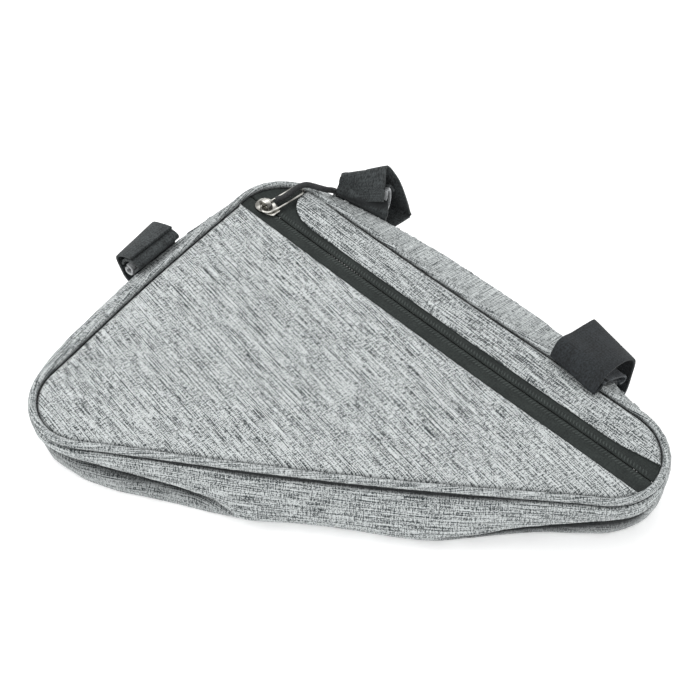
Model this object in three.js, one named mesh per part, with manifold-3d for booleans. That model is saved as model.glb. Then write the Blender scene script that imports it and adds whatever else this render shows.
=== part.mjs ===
// A triangular bicycle frame bag, empty and lying on its back.
// X runs along the bottom edge, Y towards the top corner, Z up through the bag's depth.
import * as THREE from 'three';
import { mergeVertices } from 'three/addons/utils/BufferGeometryUtils.js';
import Module from 'manifold-3d';

const wasm = await Module();
wasm.setup();

// Driving dimensions, in millimetres and degrees.
// The pattern triangle follows the middle of the piping, before its corners are rounded.
const bottomRun = 478;
const shortEdgeAngle = 60.13;
const longEdgeAngle = 35.58;
const leftRadius = 35.5;
const topRadius = 34;
const rightRadius = 36;
const bottomBow = 4.4;
const shortBow = 1.4;
const longBow = -0.9;

const bagDepth = 45;
const clothWall = 1.6;
const looseGap = 0.3;
const pipingDiameter = 4.8;
const pipingSink = 1.0;

const stripWidth = 24.4;
const stripBow = 2.4;
const stripEndDistance = 41;
const stripEndRadius = 9;
const stripPuff = 2.6;
const zipShow = 16.6;
const zipFlare = 4.6;
const grooveShare = 0.37;
const grooveWidth = 0.8;
const tapeWall = 1.0;
const tapeTuck = 4.0;
const coilWidth = 5.2;
const coilHeight = 1.8;

const sliderDistance = 22.2;
const sliderLength = 17.5;
const sliderWidth = 12.4;
const sliderPlate = 1.7;
const bridgeLength = 9.5;
const bridgeWidth = 3.6;
const bridgeRise = 4.6;
const bridgeWall = 1.3;
const wireDiameter = 1.5;
const wireLoopStart = -5.5;
const wireLoopEnd = 26;
const wireLoopWidth = 8.3;
const wireLoopShift = -2;
const wireLoopAngle = 42.6;
const wireLoopRise = 2.4;
const cordDiameter = 4.0;

const strapWidth = 37;
const strapWall = 1.6;
const strapReach = 40;
const hookWall = 1.4;
const shortStrapDistance = 107;
const longStrapDistanceA = 63;
const longStrapDistanceB = 257;

// The outline: three rounded corners and three slightly bowed edges.
// A lap of 0 to 1 follows the bottom edge, 1 to 2 the long edge and 2 to 3 the short edge,
// each from the middle of one corner's arc to the middle of the next.
const radians = THREE.MathUtils.degToRad;
const shortTangent = Math.tan(radians(shortEdgeAngle));
const longTangent = Math.tan(radians(longEdgeAngle));
const topRise = (bottomRun * shortTangent * longTangent) / (shortTangent + longTangent);
const leftCorner = new THREE.Vector2(-bottomRun / 2, 0);
const rightCorner = new THREE.Vector2(bottomRun / 2, 0);
const topCorner = new THREE.Vector2(-bottomRun / 2 + topRise / shortTangent, topRise);

function edge(start, end, startRadius, startAngle, endRadius, endAngle, bow) {
  const along = end.clone().sub(start).normalize();
  const outward = new THREE.Vector2(along.y, -along.x);
  const startTrim = startRadius / Math.tan(radians(startAngle / 2));
  const endTrim = endRadius / Math.tan(radians(endAngle / 2));
  const straight = start.distanceTo(end) - startTrim - endTrim;
  const startArc = (startRadius * radians(180 - startAngle)) / 2;
  const endArc = (endRadius * radians(180 - endAngle)) / 2;
  const length = startArc + straight + endArc;
  return {
    start, along, outward, startRadius, endRadius, startTrim, straight, startArc, endArc, length, bow
  };
}

const topAngle = 180 - shortEdgeAngle - longEdgeAngle;
const edges = [
  edge(leftCorner, rightCorner, leftRadius, shortEdgeAngle, rightRadius, longEdgeAngle, bottomBow),
  edge(rightCorner, topCorner, rightRadius, longEdgeAngle, topRadius, topAngle, longBow),
  edge(topCorner, leftCorner, topRadius, topAngle, leftRadius, shortEdgeAngle, shortBow)
];
const LONG = 1;
const SHORT = 2;

function outlinePoint(lap) {
  const turn = ((lap % 3) + 3) % 3;
  const side = edges[Math.floor(turn)];
  const travel = (turn - Math.floor(turn)) * side.length;
  const inward = side.outward.clone().negate();
  const place = (distance, depth) => side.start.clone()
    .addScaledVector(side.along, distance)
    .addScaledVector(inward, depth);
  if (travel < side.startArc) {
    const angle = (travel - side.startArc) / side.startRadius;
    return place(
      side.startTrim + side.startRadius * Math.sin(angle),
      side.startRadius * (1 - Math.cos(angle))
    );
  }
  const run = travel - side.startArc;
  if (run > side.straight) {
    const angle = (run - side.straight) / side.endRadius;
    return place(
      side.startTrim + side.straight + side.endRadius * Math.sin(angle),
      side.endRadius * (1 - Math.cos(angle))
    );
  }
  const across = (2 * run) / side.straight - 1;
  return place(side.startTrim + run, -side.bow * Math.pow(1 - across * across, 1.5));
}

function outlineNormal(lap) {
  const step = 1e-4;
  const ahead = outlinePoint(lap + step).sub(outlinePoint(lap - step)).normalize();
  return new THREE.Vector2(ahead.y, -ahead.x);
}

function offsetPoint(lap, outset) {
  return outlinePoint(lap).addScaledVector(outlineNormal(lap), outset);
}

// The laps of the outline's stations: close together on the corners, wider along the edges.
const cornerSteps = 4;
const edgeSteps = [20, 18, 11];
const stationLaps = edges.flatMap((side, index) => {
  const travels = [];
  for (let k = 0; k < cornerSteps; k += 1) travels.push((side.startArc * k) / cornerSteps);
  for (let k = 0; k < edgeSteps[index]; k += 1) {
    travels.push(side.startArc + (side.straight * k) / edgeSteps[index]);
  }
  for (let k = 0; k < cornerSteps; k += 1) {
    travels.push(side.startArc + side.straight + (side.endArc * k) / cornerSteps);
  }
  return travels.map((travel) => index + travel / side.length);
});

// Places near the zip are given by their distance from the top corner along the long edge
// and their inset from that edge.
const zipAlong = edges[LONG].along.clone().negate();
const zipInward = edges[LONG].outward.clone().negate();
const longEdgeRun = topCorner.distanceTo(rightCorner);

function zipPlace(distance, inset) {
  return topCorner.clone().addScaledVector(zipAlong, distance).addScaledVector(zipInward, inset);
}

function zipCoordinates(point) {
  const from = point.clone().sub(topCorner);
  return { distance: from.dot(zipAlong), inset: from.dot(zipInward) };
}

function upperSeam(distance) {
  const share = THREE.MathUtils.clamp(distance / longEdgeRun, 0, 1);
  return stripWidth + stripBow * Math.sin(Math.PI * share);
}

function lowerSeam(distance) {
  return upperSeam(distance) + zipShow + (zipFlare * distance) / longEdgeRun;
}

function groove(distance) {
  return THREE.MathUtils.lerp(upperSeam(distance), lowerSeam(distance), grooveShare);
}

// Shallow hollows where the empty bag sinks: place and reach as shares of the bottom run,
// drop as a share of the depth.
const hollows = [
  { x: -0.42, y: 0.08, reach: 0.17, drop: 0.07 },
  { x: 0.42, y: 0.05, reach: 0.15, drop: 0.07 },
  { x: -0.2, y: 0.14, reach: 0.16, drop: 0.035 },
  { x: 0.08, y: 0.1, reach: 0.14, drop: 0.03 }
];

function frontHeight(point) {
  let height = bagDepth;
  for (const hollow of hollows) {
    const away = point.distanceTo(new THREE.Vector2(hollow.x, hollow.y).multiplyScalar(bottomRun));
    height -= bagDepth * hollow.drop * Math.exp(-Math.pow(away / (hollow.reach * bottomRun), 2));
  }
  return height;
}

// Sections of the gusset wall, all lengths as shares of the depth but the crease's height,
// a share of the wall's: how high the crease is and how far it stands out, how far the cloth
// bulges above and below it, and how far the back edge stands out past the front edge.
const wallSections = [
  { lap: 0.0, crease: 0.80, out: -0.03, upper: 0.07, lower: 0.03, lean: -0.101 },
  { lap: 0.03, crease: 0.78, out: -0.05, upper: 0.09, lower: 0.05, lean: -0.148 },
  { lap: 0.065, crease: 0.74, out: -0.07, upper: 0.09, lower: 0.06, lean: -0.155 },
  { lap: 0.11, crease: 0.67, out: -0.05, upper: 0.085, lower: 0.07, lean: -0.055 },
  { lap: 0.15, crease: 0.60, out: -0.02, upper: 0.085, lower: 0.07, lean: 0.014 },
  { lap: 0.2, crease: 0.52, out: 0.0, upper: 0.09, lower: 0.06, lean: 0.045 },
  { lap: 0.25, crease: 0.45, out: 0.03, upper: 0.09, lower: 0.05, lean: 0.083 },
  { lap: 0.3, crease: 0.36, out: 0.10, upper: 0.09, lower: 0.04, lean: 0.130 },
  { lap: 0.35, crease: 0.25, out: 0.28, upper: 0.05, lower: 0.02, lean: 0.150 },
  { lap: 0.42, crease: 0.24, out: 0.25, upper: 0.05, lower: 0.02, lean: 0.115 },
  { lap: 0.5, crease: 0.24, out: 0.24, upper: 0.05, lower: 0.02, lean: 0.107 },
  { lap: 0.6, crease: 0.24, out: 0.29, upper: 0.05, lower: 0.02, lean: 0.155 },
  { lap: 0.65, crease: 0.24, out: 0.26, upper: 0.06, lower: 0.02, lean: 0.141 },
  { lap: 0.7, crease: 0.24, out: 0.15, upper: 0.09, lower: 0.03, lean: 0.056 },
  { lap: 0.75, crease: 0.30, out: 0.03, upper: 0.09, lower: 0.04, lean: -0.027 },
  { lap: 0.8, crease: 0.40, out: -0.01, upper: 0.09, lower: 0.05, lean: -0.103 },
  { lap: 0.85, crease: 0.51, out: -0.04, upper: 0.09, lower: 0.06, lean: -0.129 },
  { lap: 0.9, crease: 0.62, out: -0.06, upper: 0.09, lower: 0.06, lean: -0.165 },
  { lap: 0.95, crease: 0.64, out: -0.03, upper: 0.08, lower: 0.05, lean: -0.145 },
  { lap: 1.0, crease: 0.68, out: -0.01, upper: 0.06, lower: 0.05, lean: -0.051 },
  { lap: 1.06, crease: 0.80, out: 0.09, upper: 0.04, lower: 0.05, lean: 0.0 },
  { lap: 1.15, crease: 0.91, out: 0.15, upper: 0.03, lower: 0.07, lean: 0.03 },
  { lap: 1.22, crease: 0.92, out: 0.27, upper: 0.03, lower: 0.09, lean: 0.05 },
  { lap: 1.3, crease: 0.92, out: 0.40, upper: 0.03, lower: 0.10, lean: 0.08 },
  { lap: 1.4, crease: 0.92, out: 0.48, upper: 0.03, lower: 0.10, lean: 0.10 },
  { lap: 1.5, crease: 0.92, out: 0.50, upper: 0.03, lower: 0.10, lean: 0.10 },
  { lap: 1.6, crease: 0.92, out: 0.49, upper: 0.03, lower: 0.10, lean: 0.10 },
  { lap: 1.7, crease: 0.92, out: 0.45, upper: 0.03, lower: 0.09, lean: 0.08 },
  { lap: 1.8, crease: 0.92, out: 0.37, upper: 0.03, lower: 0.08, lean: 0.06 },
  { lap: 1.9, crease: 0.92, out: 0.25, upper: 0.03, lower: 0.06, lean: 0.04 },
  { lap: 2.0, crease: 0.92, out: 0.09, upper: 0.02, lower: 0.05, lean: 0.0 },
  { lap: 2.05, crease: 0.92, out: 0.09, upper: 0.02, lower: 0.05, lean: 0.0 },
  { lap: 2.2, crease: 0.92, out: 0.20, upper: 0.02, lower: 0.05, lean: 0.0 },
  { lap: 2.4, crease: 0.92, out: 0.26, upper: 0.02, lower: 0.06, lean: 0.02 },
  { lap: 2.6, crease: 0.92, out: 0.27, upper: 0.02, lower: 0.06, lean: 0.02 },
  { lap: 2.8, crease: 0.90, out: 0.24, upper: 0.02, lower: 0.05, lean: 0.0 },
  { lap: 2.87, crease: 0.88, out: 0.16, upper: 0.03, lower: 0.04, lean: -0.02 },
  { lap: 2.94, crease: 0.84, out: 0.06, upper: 0.05, lower: 0.03, lean: -0.06 }
];

// A smooth value between the rows of a table that runs round the outline.
function tableValue(rows, column, lap) {
  const count = rows.length;
  const turn = ((lap % 3) + 3) % 3;
  let index = count - 1;
  for (let k = 0; k < count; k += 1) if (rows[k].lap <= turn) index = k;
  const row = (k) => {
    const wrapped = ((k % count) + count) % count;
    return { lap: rows[wrapped].lap + 3 * Math.floor(k / count), value: rows[wrapped][column] };
  };
  const [before, from, to, after] = [row(index - 1), row(index), row(index + 1), row(index + 2)];
  const slopeFrom = (to.value - before.value) / (to.lap - before.lap);
  const slopeTo = (after.value - from.value) / (after.lap - from.lap);
  const span = to.lap - from.lap;
  const t = (turn - from.lap) / span;
  const tt = t * t;
  const ttt = tt * t;
  return (2 * ttt - 3 * tt + 1) * from.value + (ttt - 2 * tt + t) * span * slopeFrom
    + (3 * tt - 2 * ttt) * to.value + (ttt - tt) * span * slopeTo;
}

const pipingRadius = pipingDiameter / 2;
const pipingHeight = (lap) => frontHeight(outlinePoint(lap)) - pipingSink;
const wallFoot = 0.4;
const backLean = (lap) => bagDepth * tableValue(wallSections, 'lean', lap);

// The wall's profile at a lap: climb runs from 0 at the floor to 1 at the front, 0.5 at the crease.
function wallProfile(lap, climb) {
  const value = (column) => tableValue(wallSections, column, lap);
  const foot = wallFoot;
  const head = pipingHeight(lap) - pipingRadius - looseGap;
  const creaseHeight = THREE.MathUtils.lerp(foot, head, value('crease'));
  const creaseOut = bagDepth * value('out');
  if (climb < 0.5) {
    const t = climb * 2;
    const bulge = bagDepth * value('lower') * Math.sin(Math.PI * t);
    const out = THREE.MathUtils.lerp(backLean(lap), creaseOut, t) + bulge;
    return new THREE.Vector2(out, THREE.MathUtils.lerp(foot, creaseHeight, t));
  }
  const t = (climb - 0.5) * 2;
  const bulge = bagDepth * value('upper') * Math.sin(Math.PI * Math.pow(t, 0.7));
  const out = THREE.MathUtils.lerp(creaseOut, clothWall / 2, t) + bulge;
  return new THREE.Vector2(out, THREE.MathUtils.lerp(creaseHeight, head, t));
}

function wallPoint(lap, climb, outset) {
  const step = 0.01;
  const below = wallProfile(lap, Math.max(climb - step, 0));
  const above = wallProfile(lap, Math.min(climb + step, 1));
  const slope = above.sub(below).normalize();
  const profile = wallProfile(lap, climb).add(new THREE.Vector2(slope.y, -slope.x).multiplyScalar(outset));
  const plan = offsetPoint(lap, profile.x);
  return new THREE.Vector3(plan.x, plan.y, profile.y);
}

// Closed solids from grids of points.
function solidGeometry(points, triangles) {
  const geometry = new THREE.BufferGeometry();
  geometry.setAttribute('position', new THREE.Float32BufferAttribute(points.flatMap((p) => p.toArray()), 3));
  geometry.setIndex(triangles);
  const merged = mergeVertices(geometry, 1e-3);
  const index = [...merged.index.array];
  const kept = [];
  for (let k = 0; k < index.length; k += 3) {
    const [a, b, c] = index.slice(k, k + 3);
    if (a !== b && b !== c && c !== a) kept.push(a, b, c);
  }
  merged.setIndex(signedVolume(merged, kept) < 0 ? kept.reverse() : kept);
  return merged;
}

function signedVolume(geometry, index) {
  const corner = [new THREE.Vector3(), new THREE.Vector3(), new THREE.Vector3()];
  let volume = 0;
  for (let k = 0; k < index.length; k += 3) {
    corner.forEach((point, j) => point.fromBufferAttribute(geometry.attributes.position, index[k + j]));
    volume += corner[0].dot(corner[1].cross(corner[2])) / 6;
  }
  return volume;
}

// A sheet with a thickness: two grids of the same size, joined round their edges.
function sheetSolid(outer, inner, ring = false) {
  const rows = outer.length;
  const columns = outer[0].length;
  const points = [...outer.flat(), ...inner.flat()];
  const triangles = [];
  const at = (layer, row, column) => layer * rows * columns + (row % rows) * columns + column;
  const quad = (a, b, c, d) => triangles.push(a, b, c, a, c, d);
  const lastRow = ring ? rows : rows - 1;
  for (let r = 0; r < lastRow; r += 1) {
    for (let c = 0; c < columns - 1; c += 1) {
      quad(at(0, r, c), at(0, r + 1, c), at(0, r + 1, c + 1), at(0, r, c + 1));
      quad(at(1, r, c + 1), at(1, r + 1, c + 1), at(1, r + 1, c), at(1, r, c));
    }
    quad(at(0, r + 1, 0), at(0, r, 0), at(1, r, 0), at(1, r + 1, 0));
    quad(at(0, r, columns - 1), at(0, r + 1, columns - 1), at(1, r + 1, columns - 1), at(1, r, columns - 1));
  }
  if (!ring) {
    for (let c = 0; c < columns - 1; c += 1) {
      quad(at(0, 0, c), at(0, 0, c + 1), at(1, 0, c + 1), at(1, 0, c));
      quad(at(0, rows - 1, c + 1), at(0, rows - 1, c), at(1, rows - 1, c), at(1, rows - 1, c + 1));
    }
  }
  return solidGeometry(points, triangles);
}

// A closed tube through a ring of centres.
function ringTube(centres, radius, sides) {
  const count = centres.length;
  const upward = new THREE.Vector3(0, 0, 1);
  const points = [];
  const triangles = [];
  centres.forEach((centre, k) => {
    const ahead = centres[(k + 1) % count].clone().sub(centres[(k + count - 1) % count]).normalize();
    const side = ahead.clone().cross(upward).normalize();
    const up = side.clone().cross(ahead);
    for (let j = 0; j < sides; j += 1) {
      const angle = (2 * Math.PI * (j + 0.5)) / sides;
      points.push(centre.clone()
        .addScaledVector(side, radius * Math.cos(angle))
        .addScaledVector(up, radius * Math.sin(angle)));
    }
  });
  for (let r = 0; r < count; r += 1) {
    const next = (r + 1) % count;
    for (let j = 0; j < sides; j += 1) {
      const turn = (j + 1) % sides;
      const [a, b, c, d] = [r * sides + j, r * sides + turn, next * sides + turn, next * sides + j];
      triangles.push(a, b, c, a, c, d);
    }
  }
  return solidGeometry(points, triangles);
}

// Booleans.
function toManifold(geometry) {
  const plain = geometry.clone();
  plain.deleteAttribute('normal');
  plain.deleteAttribute('uv');
  const merged = mergeVertices(plain, 1e-4);
  return new wasm.Manifold(new wasm.Mesh({
    numProp: 3,
    vertProperties: new Float32Array(merged.attributes.position.array),
    triVerts: new Uint32Array(merged.index.array)
  }));
}

function fromManifold(solid) {
  const mesh = solid.getMesh();
  const geometry = new THREE.BufferGeometry();
  geometry.setAttribute('position', new THREE.BufferAttribute(new Float32Array(mesh.vertProperties), 3));
  geometry.setIndex(new THREE.BufferAttribute(new Uint32Array(mesh.triVerts), 1));
  return geometry;
}

function prism(outlinePoints, low, high) {
  const shape = new THREE.Shape(outlinePoints);
  const geometry = new THREE.ExtrudeGeometry(shape, { depth: high - low, bevelEnabled: false });
  geometry.translate(0, 0, low);
  return toManifold(geometry);
}

// The front face is a sheet that follows the front height, cut into panel, strip and tapes.
const panelInset = pipingRadius + looseGap;
const ringShares = [1, 0.84, 0.58, 0.3];
const frontTop = bagDepth * 1.5;
const faceCentre = new THREE.Vector2(
  (leftCorner.x + rightCorner.x + topCorner.x) / 3,
  (leftCorner.y + rightCorner.y + topCorner.y) / 3
);

function fannedSheet(topHeight, bottomHeight) {
  const rim = stationLaps.map((lap) => offsetPoint(lap, -panelInset));
  const points = [];
  const triangles = [];
  const count = rim.length;
  for (const height of [topHeight, bottomHeight]) {
    for (const share of ringShares) {
      for (const point of rim) {
        const place = faceCentre.clone().lerp(point, share);
        points.push(new THREE.Vector3(place.x, place.y, height(place)));
      }
    }
    points.push(new THREE.Vector3(faceCentre.x, faceCentre.y, height(faceCentre)));
  }
  const layer = count * ringShares.length + 1;
  const at = (level, ring, k) => level * layer + ring * count + (k % count);
  for (let k = 0; k < count; k += 1) {
    for (let ring = 0; ring < ringShares.length - 1; ring += 1) {
      const top = [at(0, ring, k), at(0, ring, k + 1), at(0, ring + 1, k + 1), at(0, ring + 1, k)];
      const low = [at(1, ring, k), at(1, ring, k + 1), at(1, ring + 1, k + 1), at(1, ring + 1, k)];
      triangles.push(top[0], top[1], top[2], top[0], top[2], top[3]);
      triangles.push(low[2], low[1], low[0], low[3], low[2], low[0]);
    }
    const last = ringShares.length - 1;
    triangles.push(at(0, last, k), at(0, last, k + 1), layer - 1);
    triangles.push(at(1, last, k + 1), at(1, last, k), 2 * layer - 1);
    triangles.push(at(0, 0, k + 1), at(0, 0, k), at(1, 0, k));
    triangles.push(at(0, 0, k + 1), at(1, 0, k), at(1, 0, k + 1));
  }
  return solidGeometry(points, triangles);
}

// A sheet over the zip's side of the face: rows along the long edge, columns across it.
function zipSheet(insets, topHeight, thickness) {
  const rowCount = 30;
  const outer = [];
  const inner = [];
  for (let r = 0; r <= rowCount; r += 1) {
    const distance = (longEdgeRun * r) / rowCount;
    const places = insets.map((inset) => zipPlace(distance, inset));
    outer.push(places.map((p) => new THREE.Vector3(p.x, p.y, topHeight(p))));
    inner.push(places.map((p) => new THREE.Vector3(p.x, p.y, topHeight(p) - thickness)));
  }
  return toManifold(sheetSolid(outer, inner));
}

// A band of the face between two curves of inset, from one distance to another.
function zipBand(from, to, nearInset, farInset) {
  const steps = 16;
  const near = [];
  const far = [];
  for (let k = 0; k <= steps; k += 1) {
    const distance = THREE.MathUtils.lerp(from, to, k / steps);
    near.push(zipPlace(distance, nearInset(distance)));
    far.push(zipPlace(distance, farInset(distance)));
  }
  return prism([...near, ...far.reverse()], -bagDepth, frontTop);
}

const facePrism = prism(stationLaps.map((lap) => offsetPoint(lap, -panelInset)), -bagDepth, frontTop);
const farDown = () => bottomRun;

function frontPanel() {
  const sheet = toManifold(fannedSheet(frontHeight, (point) => frontHeight(point) - clothWall));
  return fromManifold(sheet.intersect(zipBand(-longEdgeRun, 2 * longEdgeRun, lowerSeam, farDown)));
}

// The strip is crowned across its width, and puffs up at its free end by the slider.
function stripHeight(point) {
  const { distance, inset } = zipCoordinates(point);
  const across = THREE.MathUtils.clamp(inset / upperSeam(distance), 0, 1);
  const crown = Math.sin(Math.PI * across);
  const past = (distance - stripEndDistance) / (stripWidth * 1.6);
  const puff = stripPuff * (0.25 + 0.75 * Math.exp(-past * past));
  return frontHeight(point) + puff * crown;
}

function stripOutline() {
  const corner = new THREE.Shape();
  const end = stripEndDistance;
  const seam = upperSeam(end + stripWidth);
  corner.moveTo(end + stripWidth, seam);
  corner.lineTo(end + stripEndRadius * 1.4, seam);
  corner.quadraticCurveTo(end, seam - stripEndRadius * 0.3, end, seam - stripEndRadius);
  corner.lineTo(end - stripEndRadius * 0.9, 0);
  corner.lineTo(end + stripWidth, -pipingDiameter);
  return corner.getPoints(6).map((p) => zipPlace(p.x, p.y));
}

function frontStrip() {
  const insets = [-0.3, 0.1, 0.3, 0.5, 0.7, 0.9, 1.2].map((share) => share * stripWidth);
  const sheet = zipSheet(insets, stripHeight, clothWall).intersect(facePrism);
  const body = zipBand(stripEndDistance + stripWidth, longEdgeRun, () => -pipingDiameter, upperSeam);
  const end = prism(stripOutline(), -bagDepth, frontTop);
  return fromManifold(sheet.intersect(body.add(end)));
}

const tapeHeight = (point) => frontHeight(point) - clothWall - looseGap;

function zipTape(nearInset, farInset) {
  const insets = [-0.2, 0.4, 0.8, 1.2, 1.6, 2.4].map((share) => share * stripWidth);
  const sheet = zipSheet(insets, tapeHeight, tapeWall).intersect(facePrism);
  return sheet.intersect(zipBand(0, longEdgeRun, nearInset, farInset));
}

function upperTape() {
  const strip = zipTape((d) => upperSeam(d) - tapeTuck, (d) => groove(d) - grooveWidth / 2);
  const insets = [-0.2, 0.4, 0.8, 1.2, 1.6, 2.4].map((share) => share * stripWidth);
  const corner = zipSheet(insets, tapeHeight, tapeWall).intersect(facePrism).intersect(
    zipBand(0, stripEndDistance + tapeTuck, () => -pipingDiameter, (d) => groove(d) - grooveWidth / 2)
  );
  return fromManifold(strip.add(corner));
}

function lowerTape() {
  return fromManifold(zipTape((d) => groove(d) + grooveWidth / 2, (d) => lowerSeam(d) + tapeTuck));
}

// The closed coil lies behind the gap between the tapes.
function zipCoil() {
  const steps = 24;
  const from = sliderDistance + sliderLength / 2;
  const to = longEdgeRun - rightRadius * 3;
  const outer = [];
  const inner = [];
  for (let k = 0; k <= steps; k += 1) {
    const distance = THREE.MathUtils.lerp(from, to, k / steps);
    const places = [-0.5, 0.5].map((share) => zipPlace(distance, groove(distance) + share * coilWidth));
    const top = tapeHeight(zipPlace(distance, groove(distance))) - tapeWall - looseGap;
    outer.push(places.map((p) => new THREE.Vector3(p.x, p.y, top)));
    inner.push(places.map((p) => new THREE.Vector3(p.x, p.y, top - coilHeight)));
  }
  return sheetSolid(outer, inner);
}

// The two covered cords in the seams.
function piping(height, outset) {
  return ringTube(stationLaps.map((lap) => {
    const plan = offsetPoint(lap, outset(lap));
    return new THREE.Vector3(plan.x, plan.y, height(lap));
  }), pipingRadius, 7);
}

// The back piping is rolled in behind the gusset's foot, and the back panel lies inside it.
const rolledLean = (lap) => backLean(lap) - clothWall - 2 * looseGap - pipingRadius;

function backPanel() {
  const rim = stationLaps.map((lap) => offsetPoint(lap, rolledLean(lap) - panelInset));
  return new THREE.ExtrudeGeometry(new THREE.Shape(rim), { depth: clothWall, bevelEnabled: false });
}

// A stretch of the gusset, a bent wall between two laps.
const climbs = [0, 0.1, 0.2, 0.3, 0.4, 0.5, 0.57, 0.66, 0.77, 0.88, 1];

function gusset(fromLap, toLap) {
  const trim = (lap) => looseGap / 2 / edges[((Math.floor(lap) % 3) + 3) % 3].length;
  const inside = [];
  for (const base of [0, 3]) {
    for (const lap of stationLaps) {
      if (lap + base > fromLap + 0.01 && lap + base < toLap - 0.01) inside.push(lap + base);
    }
  }
  const laps = [fromLap + trim(fromLap), ...inside, toLap - trim(toLap - 0.01)];
  const outer = laps.map((lap) => climbs.map((climb) => wallPoint(lap, climb, 0)));
  const inner = laps.map((lap) => climbs.map((climb) => wallPoint(lap, climb, -clothWall)));
  return sheetSolid(outer, inner);
}

// Straps. Each row of a strap's path is a place in the plane across the bag's edge:
// on the gusset wall (climb), lying over the front edge (over, as a share of the strap's reach),
// or free (out as a share of the reach, up as a share of the depth).
// slide moves a place along the edge, as a share of the strap's width.
// Where a row gives two values, the first is at the end nearer the top corner.
const topCut = edges[SHORT].startTrim - edges[SHORT].startArc;

function edgePlace(side, distance, out) {
  const travel = distance - topCut;
  const run = side === LONG ? edges[LONG].length - travel : travel;
  const lap = side + run / edges[side].length;
  return { lap, plan: offsetPoint(lap, out) };
}

function strapPlace(side, distance, row, end) {
  const pick = (value) => (Array.isArray(value) ? value[end] : value);
  const here = distance + (row.slide === undefined ? 0 : pick(row.slide) * strapWidth);
  if (row.climb !== undefined) {
    const { lap } = edgePlace(side, here, 0);
    return wallPoint(lap, pick(row.climb), strapWall / 2 + looseGap + (row.clear || 0));
  }
  if (row.over !== undefined) {
    const { lap, plan } = edgePlace(side, here, pick(row.over) * strapReach);
    const height = pipingHeight(lap) + pipingRadius + looseGap + strapWall / 2 + (row.clear || 0);
    return new THREE.Vector3(plan.x, plan.y, height);
  }
  const { plan } = edgePlace(side, here, pick(row.out) * strapReach);
  return new THREE.Vector3(plan.x, plan.y, pick(row.up) * bagDepth);
}

function band(side, middle, width, rows, thickness, stepsPerRow) {
  const paths = [0, 1].map((end) => {
    const distance = middle + (end - 0.5) * width;
    const places = rows.map((row) => strapPlace(side, distance, row, end));
    return new THREE.CatmullRomCurve3(places, false, 'centripetal');
  });
  const steps = (rows.length - 1) * stepsPerRow;
  const outer = [];
  const inner = [];
  const columns = [0, 0.5, 1];
  for (let k = 0; k <= steps; k += 1) {
    const t = k / steps;
    const near = paths[0].getPoint(t);
    const far = paths[1].getPoint(t);
    const ahead = paths[0].getTangent(t).add(paths[1].getTangent(t)).normalize();
    const across = far.clone().sub(near).normalize();
    const normal = ahead.cross(across).normalize().multiplyScalar(thickness / 2);
    outer.push(columns.map((share) => near.clone().lerp(far, share).add(normal)));
    inner.push(columns.map((share) => near.clone().lerp(far, share).sub(normal)));
  }
  return sheetSolid(outer, inner);
}

const shortStrapPath = [
  { out: [0.36, 0.38], up: [1.11, 1.13] },
  { out: [0.55, 0.56], up: [1.05, 1.08] },
  { out: [0.79, 0.71], up: [0.93, 0.95] },
  { out: [0.72, 0.64], up: [0.74, 0.74] },
  { out: [0.58, 0.55], up: [0.55, 0.60] },
  { climb: 0.32, clear: 0.8 },
  { climb: 0.42, clear: 0.8 },
  { climb: 0.50, clear: 1.0 },
  { out: [0.22, 0.24], up: [1.00, 1.00] },
  { out: [0.38, 0.36], up: [1.04, 1.05] },
  { out: [0.58, 0.55], up: [0.96, 0.98] },
  { out: [0.66, 0.60], up: [0.86, 0.87] }
];
const shortHookPath = [
  { out: [0.52, 0.50], up: [0.91, 0.92] },
  { out: [0.42, 0.40], up: [0.86, 0.87] },
  { out: [0.44, 0.43], up: [0.76, 0.76] },
  { out: [0.53, 0.51], up: [0.75, 0.76] },
  { out: [0.55, 0.52], up: [0.82, 0.84] },
  { out: [0.50, 0.48], up: [0.84, 0.85] }
];

const longPathA = [
  { out: [0.20, 0.50], up: [0.99, 1.06], slide: [0, -0.05] },
  { out: [0.26, 0.68], up: [1.13, 1.27], slide: [0, -0.20] },
  { out: [0.34, 0.90], up: [1.24, 1.44], slide: [0, -0.38] },
  { out: [0.54, 0.95], up: [1.17, 1.27], slide: [0, -0.20] },
  { out: [0.76, 0.97], up: [0.92, 0.92], slide: 0 },
  { out: [0.82, 0.95], up: [0.66, 0.68], slide: [0, 0.10] },
  { out: [0.62, 0.74], up: [0.54, 0.64], slide: [0, 0.08] },
  { climb: 0.36, clear: 0.8 },
  { climb: 0.44, clear: 0.8 },
  { climb: 0.50, clear: 1.0 },
  { out: [0.28, 0.47], up: [0.98, 0.98], slide: [0, 0.05] },
  { out: [0.34, 0.62], up: [1.09, 1.11], slide: [0, -0.10] },
  { out: [0.45, 0.77], up: [1.12, 1.22], slide: [0, -0.20] },
  { out: [0.57, 0.82], up: [1.04, 1.12], slide: [0, -0.15] }
];
const longHookA = [
  { out: [0.46, 0.73], up: [1.065, 1.145], slide: [0, -0.18] },
  { out: [0.37, 0.605], up: [1.01, 1.03], slide: [0, -0.10] },
  { out: [0.40, 0.57], up: [0.90, 0.88], slide: [0, -0.03] },
  { out: [0.50, 0.64], up: [0.86, 0.84], slide: [0, -0.02] },
  { out: [0.55, 0.72], up: [0.90, 0.94], slide: [0, -0.08] },
  { out: [0.54, 0.76], up: [0.97, 1.05], slide: [0, -0.12] }
];

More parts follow.
